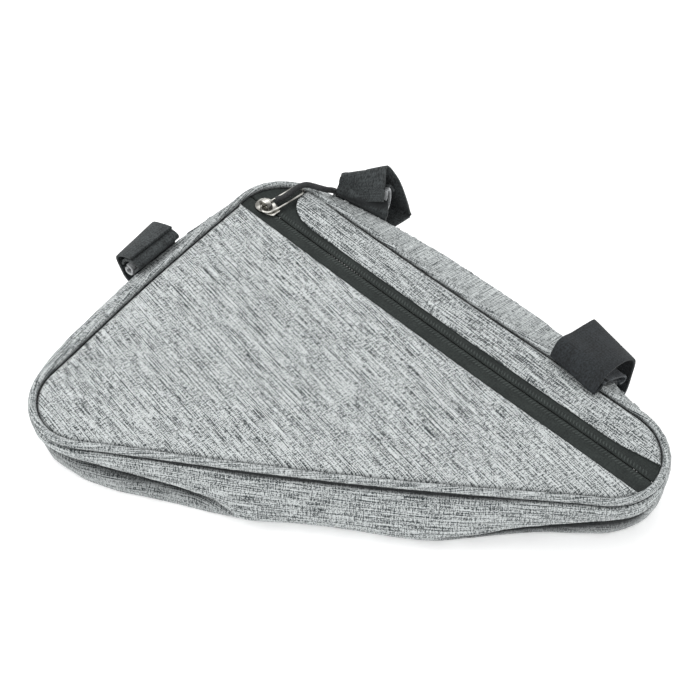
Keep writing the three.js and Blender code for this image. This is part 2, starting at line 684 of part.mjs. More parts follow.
const longPathB = [
  { out: [0.64, 0.58], up: [0.30, 0.27] },
  { out: [0.76, 0.69], up: [0.34, 0.31] },
  { out: [0.94, 0.77], up: [0.64, 0.60] },
  { out: [0.99, 0.79], up: [0.97, 0.93] },
  { out: [0.72, 0.55], up: [1.08, 1.13] },
  { out: [0.38, 0.26], up: [1.17, 1.22] },
  { out: [0.04, 0.0], up: [1.27, 1.22] },
  { over: [-0.11, -0.25], clear: 1.6 },
  { over: [-0.02, -0.14], clear: 0 },
  { over: [0.12, 0.08], clear: 0 },
  { climb: 0.66, clear: 1.0 },
  { climb: 0.50, clear: 0.9 },
  { climb: 0.42, clear: 0.6 },
  { climb: 0.34, clear: 0.5 }
];
const longHookB = [
  { over: -0.02, clear: 2.3 },
  { out: 0.16, up: 1.11 },
  { out: [0.38, 0.34], up: [1.02, 1.02] },
  { out: [0.62, 0.56], up: [0.84, 0.82] },
  { out: [0.70, 0.62], up: [0.74, 0.72] }
];

// The slider: a plate with a pointed nose and a bridge for the wire pull.
const sliderBase = zipPlace(sliderDistance, groove(sliderDistance));
const sliderTurn = Math.atan2(zipAlong.y, zipAlong.x);
const tapeTop = tapeHeight(sliderBase);

function slider() {
  const half = sliderWidth / 2;
  const front = -sliderLength / 2;
  const tail = sliderLength / 2;
  const plate = new THREE.Shape();
  plate.moveTo(front, 0);
  plate.quadraticCurveTo(front, half, front + half, half);
  plate.quadraticCurveTo(front + sliderLength * 0.6, half, tail - 1.5, half * 0.66);
  plate.lineTo(tail, half * 0.5);
  plate.lineTo(tail, -half * 0.5);
  plate.lineTo(tail - 1.5, -half * 0.66);
  plate.quadraticCurveTo(front + sliderLength * 0.6, -half, front + half, -half);
  plate.quadraticCurveTo(front, -half, front, 0);
  const body = new THREE.ExtrudeGeometry(plate, { depth: sliderPlate, bevelEnabled: false, curveSegments: 5 });
  const arch = new THREE.Shape();
  const reach = bridgeLength / 2;
  arch.moveTo(-reach, -0.2);
  arch.quadraticCurveTo(-reach, bridgeRise, 0, bridgeRise);
  arch.quadraticCurveTo(reach, bridgeRise, reach, -0.2);
  arch.lineTo(reach - bridgeWall, -0.2);
  arch.quadraticCurveTo(reach - bridgeWall, bridgeRise - bridgeWall, 0, bridgeRise - bridgeWall);
  arch.quadraticCurveTo(-reach + bridgeWall, bridgeRise - bridgeWall, -reach + bridgeWall, -0.2);
  const bridge = new THREE.ExtrudeGeometry(arch, { depth: bridgeWidth, bevelEnabled: false, curveSegments: 5 });
  bridge.translate(0, 0, -bridgeWidth / 2);
  bridge.rotateX(Math.PI / 2);
  bridge.translate(-sliderLength * 0.08, 0, sliderPlate);
  return fromManifold(toManifold(body).add(toManifold(bridge)));
}

// The wire pull: a long rounded loop that passes under the bridge and lies over the tape.
const bridgeFoot = tapeTop + looseGap + sliderPlate;
const wireRadius = wireDiameter / 2;
const wireHeight = bridgeFoot + wireRadius + looseGap;

function wirePull() {
  const end = wireLoopWidth / 2;
  const turn = radians(wireLoopAngle);
  const direction = new THREE.Vector2(Math.cos(turn), Math.sin(turn));
  const across = new THREE.Vector2(-direction.y, direction.x);
  const place = (travel, offset) => {
    const plan = sliderBase.clone()
      .addScaledVector(direction, travel)
      .addScaledVector(across, offset + wireLoopShift);
    const rise = wireLoopRise * THREE.MathUtils.smoothstep(travel, end, wireLoopEnd);
    return new THREE.Vector3(plan.x, plan.y, wireHeight + rise);
  };
  const centres = [];
  const steps = 6;
  const near = wireLoopStart + end;
  const far = wireLoopEnd - end;
  for (let k = 0; k <= steps; k += 1) {
    const angle = Math.PI / 2 + (Math.PI * k) / steps;
    centres.push(place(near + end * Math.cos(angle), end * Math.sin(angle)));
  }
  for (let k = 1; k < 5; k += 1) centres.push(place(THREE.MathUtils.lerp(near, far, k / 5), -end));
  for (let k = 0; k <= steps; k += 1) {
    const angle = -Math.PI / 2 + (Math.PI * k) / steps;
    centres.push(place(far + end * Math.cos(angle), end * Math.sin(angle)));
  }
  for (let k = 4; k > 0; k -= 1) centres.push(place(THREE.MathUtils.lerp(near, far, k / 5), end));
  return ringTube(centres, wireRadius, 6);
}

// The pull cord's route, chosen by hand: distance from the top corner along the long edge,
// inset from it, and height.
const cordRoute = [
  [23.6, 24.6, 47.6],
  [25.6, 20.6, 47.9],
  [27.2, 16.4, 49.0],
  [28.5, 12.0, 51.3],
  [29.8, 8.0, 52.2],
  [31.8, 4.2, 52.2],
  [34.9, 0.8, 50.6],
  [38.2, -2.2, 48.9],
  [40.6, -5.6, 46.6],
  [41.6, -9.8, 43.8],
  [41.2, -13.6, 39.2],
  [40.4, -14.6, 32.5]
];

function pullCord() {
  const points = cordRoute.map(([distance, inset, height]) => {
    const plan = zipPlace(distance, inset);
    return new THREE.Vector3(plan.x, plan.y, height);
  });
  const section = new THREE.Shape();
  section.absarc(0, 0, cordDiameter / 2, 0, 2 * Math.PI);
  return new THREE.ExtrudeGeometry(section, {
    steps: 22,
    curveSegments: 4,
    extrudePath: new THREE.CatmullRomCurve3(points)
  });
}

// Materials.
function cloth(color, roughness) {
  return new THREE.MeshStandardMaterial({ color, roughness, metalness: 0 });
}

const melange = () => cloth(0xb3b8b8, 0.85);
const melangeShade = () => cloth(0x8e9292, 0.85);
const zipCloth = () => cloth(0x343d3a, 0.75);
const webbing = () => cloth(0x3a3e42, 0.8);
const hookTape = () => cloth(0x9a9c9c, 0.9);
const metal = () => new THREE.MeshStandardMaterial({ color: 0xc9c7c0, roughness: 0.25, metalness: 1 });

const bag = new THREE.Group();
bag.name = 'frame_bag';

function add(name, geometry, material) {
  const mesh = new THREE.Mesh(geometry, material);
  mesh.name = name;
  bag.add(mesh);
  return mesh;
}

add('back_panel', backPanel(), melangeShade());
add('gusset_lower', gusset(2, 4), melangeShade());
add('gusset_top', gusset(1, 2), melangeShade());
add('piping_back', piping(() => pipingRadius, rolledLean), melange());
add('piping_front', piping(pipingHeight, () => 0), melange());
add('front_panel', frontPanel(), melange());
add('front_strip', frontStrip(), melange());
add('zip_tape_lower', lowerTape(), zipCloth());
add('zip_tape_upper', upperTape(), zipCloth());
add('zip_coil', zipCoil(), zipCloth());

const sliderMesh = add('zip_slider', slider(), metal());
sliderMesh.rotation.z = sliderTurn;
sliderMesh.position.set(sliderBase.x, sliderBase.y, tapeTop + looseGap);
add('zip_pull', wirePull(), metal());
add('pull_cord', pullCord(), cloth(0x242628, 0.7));

add('strap_short', band(SHORT, shortStrapDistance, strapWidth, shortStrapPath, strapWall, 3), webbing());
add('hook_short', band(SHORT, shortStrapDistance, strapWidth, shortHookPath, hookWall, 3), hookTape());
add('strap_long_a', band(LONG, longStrapDistanceA, strapWidth, longPathA, strapWall, 3), webbing());
add('hook_long_a', band(LONG, longStrapDistanceA, strapWidth, longHookA, hookWall, 3), hookTape());
add('strap_long_b', band(LONG, longStrapDistanceB, strapWidth, longPathB, strapWall, 3), webbing());
add('hook_long_b', band(LONG, longStrapDistanceB, strapWidth, longHookB, hookWall, 3), hookTape());

// The bag stands with the middle of its box over the origin.
const box = new THREE.Box3().setFromObject(bag);
bag.position.set(-(box.min.x + box.max.x) / 2, -(box.min.y + box.max.y) / 2, -box.min.z);

const part = new THREE.Group();
part.add(bag);
export default part;
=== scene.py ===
# %% [markdown]
# # A bicycle frame bag, one piece at a time
# This lesson dresses a plain CAD model of a cloth bag that straps inside a bicycle's frame. The bag is
# empty and lies on its back. Each step names a piece of the real bag, says how it could be made in
# Blender and why one way was chosen. X runs along the bottom edge, Y towards the top corner, Z upwards.

# %% Load the CAD model
import math

import bmesh
import bpy
import numpy
from mathutils import Matrix, Vector, noise
from mathutils.geometry import delaunay_2d_cdt


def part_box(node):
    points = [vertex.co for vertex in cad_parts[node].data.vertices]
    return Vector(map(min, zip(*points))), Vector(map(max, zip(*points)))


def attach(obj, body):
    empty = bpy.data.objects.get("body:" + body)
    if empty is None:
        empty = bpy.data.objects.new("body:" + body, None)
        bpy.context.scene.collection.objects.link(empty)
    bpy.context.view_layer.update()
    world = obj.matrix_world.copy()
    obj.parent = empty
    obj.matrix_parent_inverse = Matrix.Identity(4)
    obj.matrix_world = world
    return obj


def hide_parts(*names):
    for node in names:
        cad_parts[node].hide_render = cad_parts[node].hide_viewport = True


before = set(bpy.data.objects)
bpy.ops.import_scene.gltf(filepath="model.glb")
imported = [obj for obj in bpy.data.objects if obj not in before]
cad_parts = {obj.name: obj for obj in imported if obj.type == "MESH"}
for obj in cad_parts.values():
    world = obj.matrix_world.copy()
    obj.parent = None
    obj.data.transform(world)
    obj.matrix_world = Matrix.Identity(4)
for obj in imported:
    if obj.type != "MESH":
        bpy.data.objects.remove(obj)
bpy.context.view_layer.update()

# %% [markdown]
# ## The pattern of the bag
# A sewn bag starts from a paper pattern. Ours is a triangle with three rounded corners and slightly
# bowed edges, and its line follows the middle of the covered cord in the front seam. A place on the
# line is given by a lap: 0 to 1 is the bottom edge, 1 to 2 the long edge with the zip, 2 to 3 the short
# edge. All sizes here are in millimetres, as on the pattern, and become metres when a mesh is made.

# %% Sizes of the bag in millimetres
bottom_run, short_angle, long_angle = 478.0, 60.13, 35.58
left_radius, top_radius, right_radius = 35.5, 34.0, 36.0
bottom_bow, short_bow, long_bow = 4.4, 1.4, -0.9
depth, wall, gap = 45.0, 1.6, 0.3
cord_radius = 2.4
strip_width, strip_bow, strip_end, strip_puff = 24.4, 2.4, 41.0, 2.6
zip_show, zip_flare, groove_share = 16.6, 4.6, 0.37
slider_distance, slider_length, slider_width, slider_plate = 22.2, 17.5, 12.4, 1.7
strap_width, strap_wall, strap_reach = 37.0, 1.6, 40.0
panel_skin, gusset_skin, tape_skin, hook_skin = 1.1, 1.0, 0.8, 1.4
stitch_away, groove_half, tape_under = 2.6, 0.3, 4
LONG, SHORT = 1, 2  # the bottom edge is number 0
print("pattern:", bottom_run, "mm between the corners' points,", depth, "mm deep")

# %% The three corners and edges
tangent_short, tangent_long = math.tan(math.radians(short_angle)), math.tan(math.radians(long_angle))
top_rise = bottom_run * tangent_short * tangent_long / (tangent_short + tangent_long)
left_corner = Vector((-bottom_run / 2, 0))
right_corner = Vector((bottom_run / 2, 0))
top_corner = Vector((-bottom_run / 2 + top_rise / tangent_short, top_rise))


class Edge:
    """One side of the pattern: half of a corner's arc, a nearly straight run and half of the next arc."""

    def __init__(self, start, end, start_radius, start_angle, end_radius, end_angle, bow):
        self.start, self.along = start, (end - start).normalized()
        self.outward = Vector((self.along.y, -self.along.x))
        self.start_radius, self.end_radius, self.bow = start_radius, end_radius, bow
        self.start_trim = start_radius / math.tan(math.radians(start_angle / 2))
        end_trim = end_radius / math.tan(math.radians(end_angle / 2))
        self.straight = (end - start).length - self.start_trim - end_trim
        self.start_arc = start_radius * math.radians(180 - start_angle) / 2
        self.end_arc = end_radius * math.radians(180 - end_angle) / 2
        self.length = self.start_arc + self.straight + self.end_arc

    def place(self, distance, inwards):
        return self.start + self.along * distance - self.outward * inwards

    def point(self, travel):
        if travel < self.start_arc:
            angle = (travel - self.start_arc) / self.start_radius
            radius = self.start_radius
            return self.place(self.start_trim + radius * math.sin(angle), radius * (1 - math.cos(angle)))
        run = travel - self.start_arc
        if run > self.straight:
            angle, radius = (run - self.straight) / self.end_radius, self.end_radius
            far = self.start_trim + self.straight
            return self.place(far + radius * math.sin(angle), radius * (1 - math.cos(angle)))
        across = 2 * run / self.straight - 1
        return self.place(self.start_trim + run, -self.bow * (1 - across * across) ** 1.5)


top_angle = 180 - short_angle - long_angle
edges = [
    Edge(left_corner, right_corner, left_radius, short_angle, right_radius, long_angle, bottom_bow),
    Edge(right_corner, top_corner, right_radius, long_angle, top_radius, top_angle, long_bow),
    Edge(top_corner, left_corner, top_radius, top_angle, left_radius, short_angle, short_bow),
]
print("edge lengths in mm:", [round(edge.length, 1) for edge in edges])


# %% Points on the pattern's line
small_lap = 1e-4


def line_point(lap):
    turn = lap % 3
    edge = edges[min(int(turn), 2)]
    return edge.point((turn - int(turn)) * edge.length)


def line_normal(lap):
    ahead = (line_point(lap + small_lap) - line_point(lap - small_lap)).normalized()
    return Vector((ahead.y, -ahead.x))


def beside_line(lap, outset):
    return line_point(lap) + line_normal(lap) * outset


def laps_between(start, end, spacing):
    """Laps from start to end, about so many millimetres of cloth apart."""
    laps = []
    for whole in range(math.floor(start), math.ceil(end)):
        low, high = max(start, whole), min(end, whole + 1)
        steps = max(1, round((high - low) * edges[whole % 3].length / spacing))
        laps += [low + (high - low) * k / steps for k in range(steps)]
    return laps + [end]


# %% [markdown]
# ## The zip's own ruler
# Everything near the zip is measured as a tailor would: how far it is from the top corner along the
# long edge, and how far in from that edge. Two seams bound the zip, and the groove between its tapes
# lies a little above the middle.

# %% Distances along the zip
zip_along = -edges[LONG].along
zip_inward = -edges[LONG].outward
long_run = (right_corner - top_corner).length


def zip_place(distance, inset):
    return top_corner + zip_along * distance + zip_inward * inset


def zip_ruler(point):
    away = point - top_corner
    return away.dot(zip_along), away.dot(zip_inward)


def upper_seam(distance):
    share = min(max(distance / long_run, 0), 1)
    return strip_width + strip_bow * math.sin(math.pi * share)


def lower_seam(distance):
    return upper_seam(distance) + zip_show + zip_flare * distance / long_run


def groove(distance):
    return upper_seam(distance) + groove_share * (lower_seam(distance) - upper_seam(distance))


print("zip's width at its two ends, mm:", [round(lower_seam(d) - upper_seam(d), 1) for d in (0, long_run)])

# %% [markdown]
# ## Where the empty bag sinks
# With nothing inside, the front face drops a little near the corners. Four broad, shallow hollows are
# taken from the bag's depth. A finer set of folds is added to the cloth later, piece by piece.

# %% Height of the front face
# Each hollow has a middle and a reach in shares of the bottom run, and a drop in shares of the depth.
hollows = [
    (-0.42, 0.08, 0.17, 0.07), (0.42, 0.05, 0.15, 0.07), (-0.2, 0.14, 0.16, 0.035), (0.08, 0.1, 0.14, 0.03),
]


def front_height(point):
    height = depth
    for x, y, reach, drop in hollows:
        away = (point - Vector((x, y)) * bottom_run).length / (reach * bottom_run)
        height -= depth * drop * math.exp(-away * away)
    return height


def smooth(value, low, high):
    share = min(max((value - low) / (high - low), 0), 1)
    return share * share * (3 - 2 * share)


def rough(x, y, z=0.0, seed=0.0):
    """Smooth noise from about -1 to 1 that is the same on every run."""
    return noise.noise(Vector((x + 37.1 * seed, y - 11.7 * seed, z + 5.3 * seed)))


print("front face over the middle, mm:", round(front_height(Vector((0, 75))), 1))

# %% [markdown]
# ## The side wall's sections
# The side wall bulges on one edge and folds in on the others, so its profile changes all the way round.
# A table, read from the photograph, gives it lap by lap: the height of the crease, how far out the crease
# stands, the bulges above and below it and the lean of the foot, as shares of the depth.

# %% The gusset's table of sections
section_columns = ("lap", "crease", "out", "upper", "lower", "lean")
section_rows = [
    (0.0, 0.80, -0.03, 0.07, 0.03, -0.101), (0.03, 0.78, -0.05, 0.09, 0.05, -0.148),
    (0.065, 0.74, -0.07, 0.09, 0.06, -0.155), (0.11, 0.67, -0.05, 0.085, 0.07, -0.055),
    (0.15, 0.60, -0.02, 0.085, 0.07, 0.014), (0.2, 0.52, 0.0, 0.09, 0.06, 0.045),
    (0.25, 0.45, 0.03, 0.09, 0.05, 0.083), (0.3, 0.36, 0.10, 0.09, 0.04, 0.130),
    (0.35, 0.25, 0.28, 0.05, 0.02, 0.150), (0.42, 0.24, 0.25, 0.05, 0.02, 0.115),
    (0.5, 0.24, 0.24, 0.05, 0.02, 0.107), (0.6, 0.24, 0.29, 0.05, 0.02, 0.155),
    (0.65, 0.24, 0.26, 0.06, 0.02, 0.141), (0.7, 0.24, 0.15, 0.09, 0.03, 0.056),
    (0.75, 0.30, 0.03, 0.09, 0.04, -0.027), (0.8, 0.40, -0.01, 0.09, 0.05, -0.103),
    (0.85, 0.51, -0.04, 0.09, 0.06, -0.129), (0.9, 0.62, -0.06, 0.09, 0.06, -0.165),
    (0.95, 0.64, -0.03, 0.08, 0.05, -0.145), (1.0, 0.68, -0.01, 0.06, 0.05, -0.051),
    (1.06, 0.80, 0.09, 0.04, 0.05, 0.0), (1.15, 0.91, 0.15, 0.03, 0.07, 0.03),
    (1.22, 0.92, 0.27, 0.03, 0.09, 0.05), (1.3, 0.92, 0.40, 0.03, 0.10, 0.08),
    (1.4, 0.92, 0.48, 0.03, 0.10, 0.10), (1.5, 0.92, 0.50, 0.03, 0.10, 0.10),
    (1.6, 0.92, 0.49, 0.03, 0.10, 0.10), (1.7, 0.92, 0.45, 0.03, 0.09, 0.08),
    (1.8, 0.92, 0.37, 0.03, 0.08, 0.06), (1.9, 0.92, 0.25, 0.03, 0.06, 0.04),
    (2.0, 0.92, 0.09, 0.02, 0.05, 0.0), (2.05, 0.92, 0.09, 0.02, 0.05, 0.0),
    (2.2, 0.92, 0.20, 0.02, 0.05, 0.0), (2.4, 0.92, 0.26, 0.02, 0.06, 0.02),
    (2.6, 0.92, 0.27, 0.02, 0.06, 0.02), (2.8, 0.90, 0.24, 0.02, 0.05, 0.0),
    (2.87, 0.88, 0.16, 0.03, 0.04, -0.02), (2.94, 0.84, 0.06, 0.05, 0.03, -0.06),
]


def section_at(lap):
    """Every column of the table at a lap, on a smooth closed curve through its rows."""
    count, turn = len(section_rows), lap % 3
    index = max(k for k in range(count) if section_rows[k][0] <= turn + 1e-12)

    def row(k):
        return section_rows[k % count][0] + 3 * (k // count), section_rows[k % count]

    (lap_0, row_0), (lap_1, row_1), (lap_2, row_2), (lap_3, row_3) = [row(index + k) for k in (-1, 0, 1, 2)]
    span, t = lap_2 - lap_1, (turn - lap_1) / (lap_2 - lap_1)
    weights = (2 * t**3 - 3 * t**2 + 1, t**3 - 2 * t**2 + t, 3 * t**2 - 2 * t**3, t**3 - t**2)
    found = {}
    for column, name in enumerate(section_columns):
        if column:
            slope_1 = (row_2[column] - row_0[column]) / (lap_2 - lap_0)
            slope_2 = (row_3[column] - row_1[column]) / (lap_3 - lap_1)
            parts = (row_1[column], span * slope_1, row_2[column], span * slope_2)
            found[name] = sum(w * p for w, p in zip(weights, parts))
    return found


def rolled_lean(lap):
    """How far out the back seam's covered cord lies, rolled in behind the wall's foot."""
    return depth * section_at(lap)["lean"] - wall - 2 * gap - cord_radius


def back_rim(laps):
    """The rim of the back panel, just inside that cord."""
    return [beside_line(lap, rolled_lean(lap) - cord_radius - gap) for lap in laps]


print("rows of sections:", len(section_rows))

# %% [markdown]
# ## From the pattern to Blender's metres
# The CAD model was moved so that its box stands over the origin. The same move is found here from the
# back panel, whose rim follows the pattern, so a piece made from the pattern lands on its CAD solid.

# %% The move from the pattern to the CAD model's frame
def cad_stations():
    """The laps at which the CAD model's wall has its rows of corners."""
    laps = []
    for index, (edge, steps) in enumerate(zip(edges, (20, 18, 11))):
        travels = [edge.start_arc * k / 4 for k in range(4)]
        travels += [edge.start_arc + edge.straight * k / steps for k in range(steps)]
        travels += [edge.start_arc + edge.straight + edge.end_arc * k / 4 for k in range(4)]
        laps += [index + travel / edge.length for travel in travels]
    return laps


rim = back_rim(cad_stations())
rim_low = Vector((min(p.x for p in rim), min(p.y for p in rim)))
back_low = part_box("back_panel")[0]
shift = Vector((back_low[0] * 1000 - rim_low.x, back_low[1] * 1000 - rim_low.y))
print("pattern to frame, mm:", round(shift.x, 2), round(shift.y, 2))


def metres(point):
    return (0.001 * (point[0] + shift.x), 0.001 * (point[1] + shift.y), 0.001 * point[2])


# %% [markdown]
# ## Camera first
# The photograph was taken from in front and about fifty degrees above the table, with a long lens. The
# camera was found by matching corners of the CAD model with the same corners in the photograph.

# %% The camera
photo_pixels, focal_pixels = 700, 1713
camera_data = bpy.data.cameras.new("camera")
camera_data.sensor_width = 36
camera_data.lens = focal_pixels * 36 / photo_pixels
camera = bpy.data.objects.new("camera", camera_data)
camera.location = metres((61.02, -572.91, 842.7))
aim = Vector(metres((-34.9, 127.64, 0))) - camera.location
camera.rotation_euler = aim.to_track_quat("-Z", "Y").to_euler()
bpy.context.scene.collection.objects.link(camera)
bpy.context.scene.camera = camera
print("camera at", [round(v, 3) for v in camera.location])


# %% [markdown]
# ## Helpers for meshes
# Most pieces are grids: rows of points along the cloth and columns across it. One helper joins them
# into quads and writes a UV map in metres along and across the cloth, so that a woven pattern can
# follow a bent band. Another makes the mesh itself. It turns the faces outwards, because light and
# thickness both depend on which side is the outside, and keeps how much painted shade each point gets.

# %% Grids of points with a UV map in metres
def straight_up(centre):
    return Vector((0, 0, 1))


def finish_mesh(name, points, faces, corner_uvs, faces_up, material, shade=None):
    """faces_up(centre) is a way out of the piece at a place; shade is how much painted shade each point
    gets.
    """
    mesh = bpy.data.meshes.new(name)
    mesh.from_pydata([metres(p) for p in points], [], faces)
    if corner_uvs:
        layer = mesh.uv_layers.new(name="cloth")
        flat = [value for face in corner_uvs for uv in face for value in uv]
        layer.data.foreach_set("uv", flat)
    agreement = sum(face.normal.dot(faces_up(face.center * 1000)) for face in mesh.polygons)
    if agreement < 0:
        mesh.flip_normals()
    # Painted shade: the seam attribute darkens the colour where shade falls.
    if shade is not None:
        mesh.attributes.new("seam", "FLOAT", "POINT").data.foreach_set("value", [float(v) for v in shade])
    mesh.shade_smooth()
    piece = bpy.data.objects.new(name, mesh)
    bpy.context.scene.collection.objects.link(piece)
    mesh.materials.append(material)
    return piece


def running_length(points):
    total, lengths = 0.0, [0.0]
    for before, after in zip(points, points[1:]):
        total += (after - before).length
        lengths.append(total * 0.001)
    return lengths


def grid_piece(
    name, rows, faces_up, material, closed_rows=False, closed_columns=False, datum=0, shade=None
):
    """rows run along the cloth; datum is the column whose length gives u and where v is 0."""
    count, width = len(rows), len(rows[0])
    along = running_length([row[datum] for row in rows] + ([rows[0][datum]] if closed_rows else []))
    across = []
    for row in rows:
        lengths = running_length(list(row) + ([row[0]] if closed_columns else []))
        across.append([value - lengths[datum] for value in lengths])
    faces, uvs = [], []
    for r in range(count if closed_rows else count - 1):
        for c in range(width if closed_columns else width - 1):
            corners = [(r, c), (r + 1, c), (r + 1, c + 1), (r, c + 1)]
            faces.append([(i % count) * width + j % width for i, j in corners])
            uvs.append([(along[i], across[i % count][j]) for i, j in corners])
    points = [point for row in rows for point in row]
    return finish_mesh(name, points, faces, uvs, faces_up, material, shade)


# %% [markdown]
# ## Thickness and edges
# Cloth, tape and webbing are modelled as one skin, and a Solidify modifier gives the wall behind it.
# That keeps the woven face exact and the wall even. Webbing also gets a small Bevel on its cut edges.

# %% Thickness by modifier
def thicken(piece, thickness, bevel=0.0):
    solidify = piece.modifiers.new("thickness", "SOLIDIFY")
    solidify.thickness = 0.001 * thickness
    solidify.offset = -1
    solidify.use_even_offset = False
    if bevel:
        soft = piece.modifiers.new("soft edge", "BEVEL")
        soft.width = 0.001 * bevel
        soft.segments = 2
        soft.limit_method = "ANGLE"
        soft.angle_limit = math.radians(50)
    return piece


def dress(piece, slot, *nodes):
    """The piece rides with the bag and stands for its CAD nodes, which are hidden. The slot is not used."""
    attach(piece, "root")
    if nodes:
        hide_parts(*nodes)
    print(piece.name, len(piece.data.polygons), "faces")
    return piece


# %% [markdown]
# ## Shader maths as plain Python
# A woven finish is a small sum of stretched noises. Wiring each sum by hand is slow to read, so one
# class wraps a socket and lets Python's own signs add the Math nodes. Every other node comes from one
# method, which takes the node's type, its settings and the values or links of its sockets.

# %% A socket that can be added and multiplied
class Wire:
    def __init__(self, socket):
        self.socket = socket

    @classmethod
    def node(cls, tree, kind, settings=None, inputs=None, output=0):
        made = tree.nodes.new(kind)
        for name, value in (settings or {}).items():
            setattr(made, name, value)
        for name, value in (inputs or {}).items():
            if isinstance(value, Wire):
                tree.links.new(value.socket, made.inputs[name])
            else:
                made.inputs[name].default_value = value
        return cls(made.outputs[output])

    def maths(self, operation, first, second):
        tree = self.socket.id_data
        return Wire.node(tree, "ShaderNodeMath", {"operation": operation}, {0: first, 1: second})

    def __add__(self, other):
        return self.maths("ADD", self, other)

    def __sub__(self, other):
        return self.maths("SUBTRACT", self, other)

    def __rsub__(self, other):
        return self.maths("SUBTRACT", other, self)

    def __mul__(self, other):
        return self.maths("MULTIPLY", self, other)

    __radd__ = __add__
    __rmul__ = __mul__


# %% Small words for the finishes
def new_finish(name, **values):
    material = bpy.data.materials.new(name)
    material.use_nodes = True
    tree = material.node_tree
    shader = tree.nodes["Principled BSDF"]
    for socket, value in values.items():
        shader.inputs[socket.replace("_", " ")].default_value = value
    return material, tree, shader


def surface_place(tree, source, turn=0.0):
    """Metres over the surface, turned so that X runs along the threads."""
    place = Wire.node(tree, "ShaderNodeTexCoord", {}, {}, source)
    turned = {"Vector": place, "Rotation": (0, 0, math.radians(-turn))}
    return Wire.node(tree, "ShaderNodeMapping", {}, turned)


def stretched_noise(tree, place, along, across, seed, detail=2.0, rough_share=0.5):
    """Noise with marks of a length and a width given in millimetres."""
    move, scale = (seed, 2.3 * seed, seed), (1000 / along, 1000 / across, 0)
    moved = Wire.node(tree, "ShaderNodeMapping", {}, {"Vector": place, "Location": move, "Scale": scale})
    values = {"Vector": moved, "Scale": 1.0, "Detail": detail, "Roughness": rough_share}
    return Wire.node(tree, "ShaderNodeTexNoise", {"noise_dimensions": "3D"}, values)


def step_up(tree, value, low, high):
    """0 below low, 1 above high and a soft rise between them."""
    values = {"Value": value, "From Min": low, "From Max": high, "To Min": 0.0, "To Max": 1.0}
    return Wire.node(tree, "ShaderNodeMapRange", {"interpolation_type": "SMOOTHSTEP"}, values)


def mix_colour(tree, share, first, second):
    return Wire.node(tree, "ShaderNodeMix", {"data_type": "RGBA"}, {0: share, 6: first, 7: second}, 2)


def threads(tree, place, pitch, direction):
    """Rows of thread, from 0 between them to 1 on top. A thread is one pitch wide, and so is a gap."""
    turns_in_a_radian = 0.15915
    values = {"Vector": place, "Scale": 1000 / pitch * turns_in_a_radian, "Distortion": 0.0}
    settings = {"wave_type": "BANDS", "bands_direction": direction, "wave_profile": "SIN"}
    return Wire.node(tree, "ShaderNodeTexWave", settings, values, "Fac")


def connect(tree, wire, shader, socket):
    tree.links.new(wire.socket, shader.inputs[socket])


def add_bump(tree, shader, height, strength, distance):
    values = {"Height": height, "Strength": strength, "Distance": distance}
    connect(tree, Wire.node(tree, "ShaderNodeBump", {}, values, "Normal"), shader, "Normal")


# %% [markdown]
# ## The melange cloth
# The bag's cloth is woven from grey yarns of uneven thickness and tone. Close up it shows pale and dark
# streaks along one direction, crossed by a fine weave, and from afar it looks a soft mid grey. An image
# of cloth would repeat, so noises make it instead: fine and long marks along the streaks, short marks
# across them, a grain, a broad mottling, and single pale and dark slubs. The same finish is made once
# for each direction and tone, as a tailor turns the pattern. Shade in the seams and under the folds is
# painted into the colour by an attribute of the mesh.

# %% The melange finish
pale_yarn, dark_yarn = (0.57, 0.60, 0.60, 1), (0.028, 0.036, 0.038, 1)
# Painted shade: the colour that the seam attribute mixes in where shade falls in seams, folds and laps.
painted_shade_colour = (0.008, 0.010, 0.011, 1)


def paint(tree, shader, colour):
    """Painted shade: the mesh says where it lies in shade, in its attribute named seam."""
    seam = Wire.node(tree, "ShaderNodeAttribute", {"attribute_name": "seam"}, {}, "Fac")
    connect(tree, mix_colour(tree, seam, colour, painted_shade_colour), shader, "Base Color")


def melange(name, source, turn, level, contrast=1.0):
    material, tree, shader = new_finish(name, Roughness=0.9, Sheen_Weight=0.08, Sheen_Roughness=0.5)
    place = surface_place(tree, source, turn)
    fine = stretched_noise(tree, place, 14.0, 0.64, 1.0, 0.0)
    long_marks = stretched_noise(tree, place, 60.0, 0.60, 4.0, 0.0)
    crossing = stretched_noise(tree, place, 0.64, 3.6, 7.0, 0.0)
    grain = stretched_noise(tree, place, 0.74, 0.66, 11.0, 0.0)
    mottle = stretched_noise(tree, place, 30.0, 8.0, 15.0, 2.0)
    dark_slubs = step_up(tree, stretched_noise(tree, place, 34.0, 0.62, 21.0, 0.0), 0.62, 0.70)
    pale_slubs = step_up(tree, stretched_noise(tree, place, 40.0, 0.62, 33.0, 0.0), 0.62, 0.70)
    weave = threads(tree, place, 1.3, "X") * threads(tree, place, 1.2, "Y")
    marks = 1.7 * (fine - 0.5) + 1.0 * (long_marks - 0.5) + 1.6 * (crossing - 0.5)
    spots = 1.9 * (grain - 0.5) + 0.25 * (mottle - 0.5) - 0.3 * dark_slubs + 0.3 * pale_slubs
    tone = level + contrast * marks + contrast * spots + 0.3 * contrast * (weave - 0.3)
    tone = Wire.node(tree, "ShaderNodeClamp", {}, {"Value": tone})
    paint(tree, shader, mix_colour(tree, tone, dark_yarn, pale_yarn))
    add_bump(tree, shader, weave * 0.5 + fine * 0.7 + crossing * 0.4, 0.4, 0.0004)
    return material


panel_cloth = melange("panel_cloth", "Object", -45, level=0.62, contrast=1.12)
strip_cloth = melange("strip_cloth", "Object", -38, level=0.51, contrast=1.15)
gusset_cloth = melange("gusset_cloth", "UV", 0, level=0.52, contrast=1.05)
top_gusset_cloth = melange("top_gusset_cloth", "UV", 86, level=0.60, contrast=0.65)
piping_cloth = melange("piping_cloth", "UV", 8, level=0.50, contrast=0.85)
shade_cloth = melange("shade_cloth", "Object", 4, level=0.6)
print("melange finishes:", [material.name for material in bpy.data.materials if "cloth" in material.name])


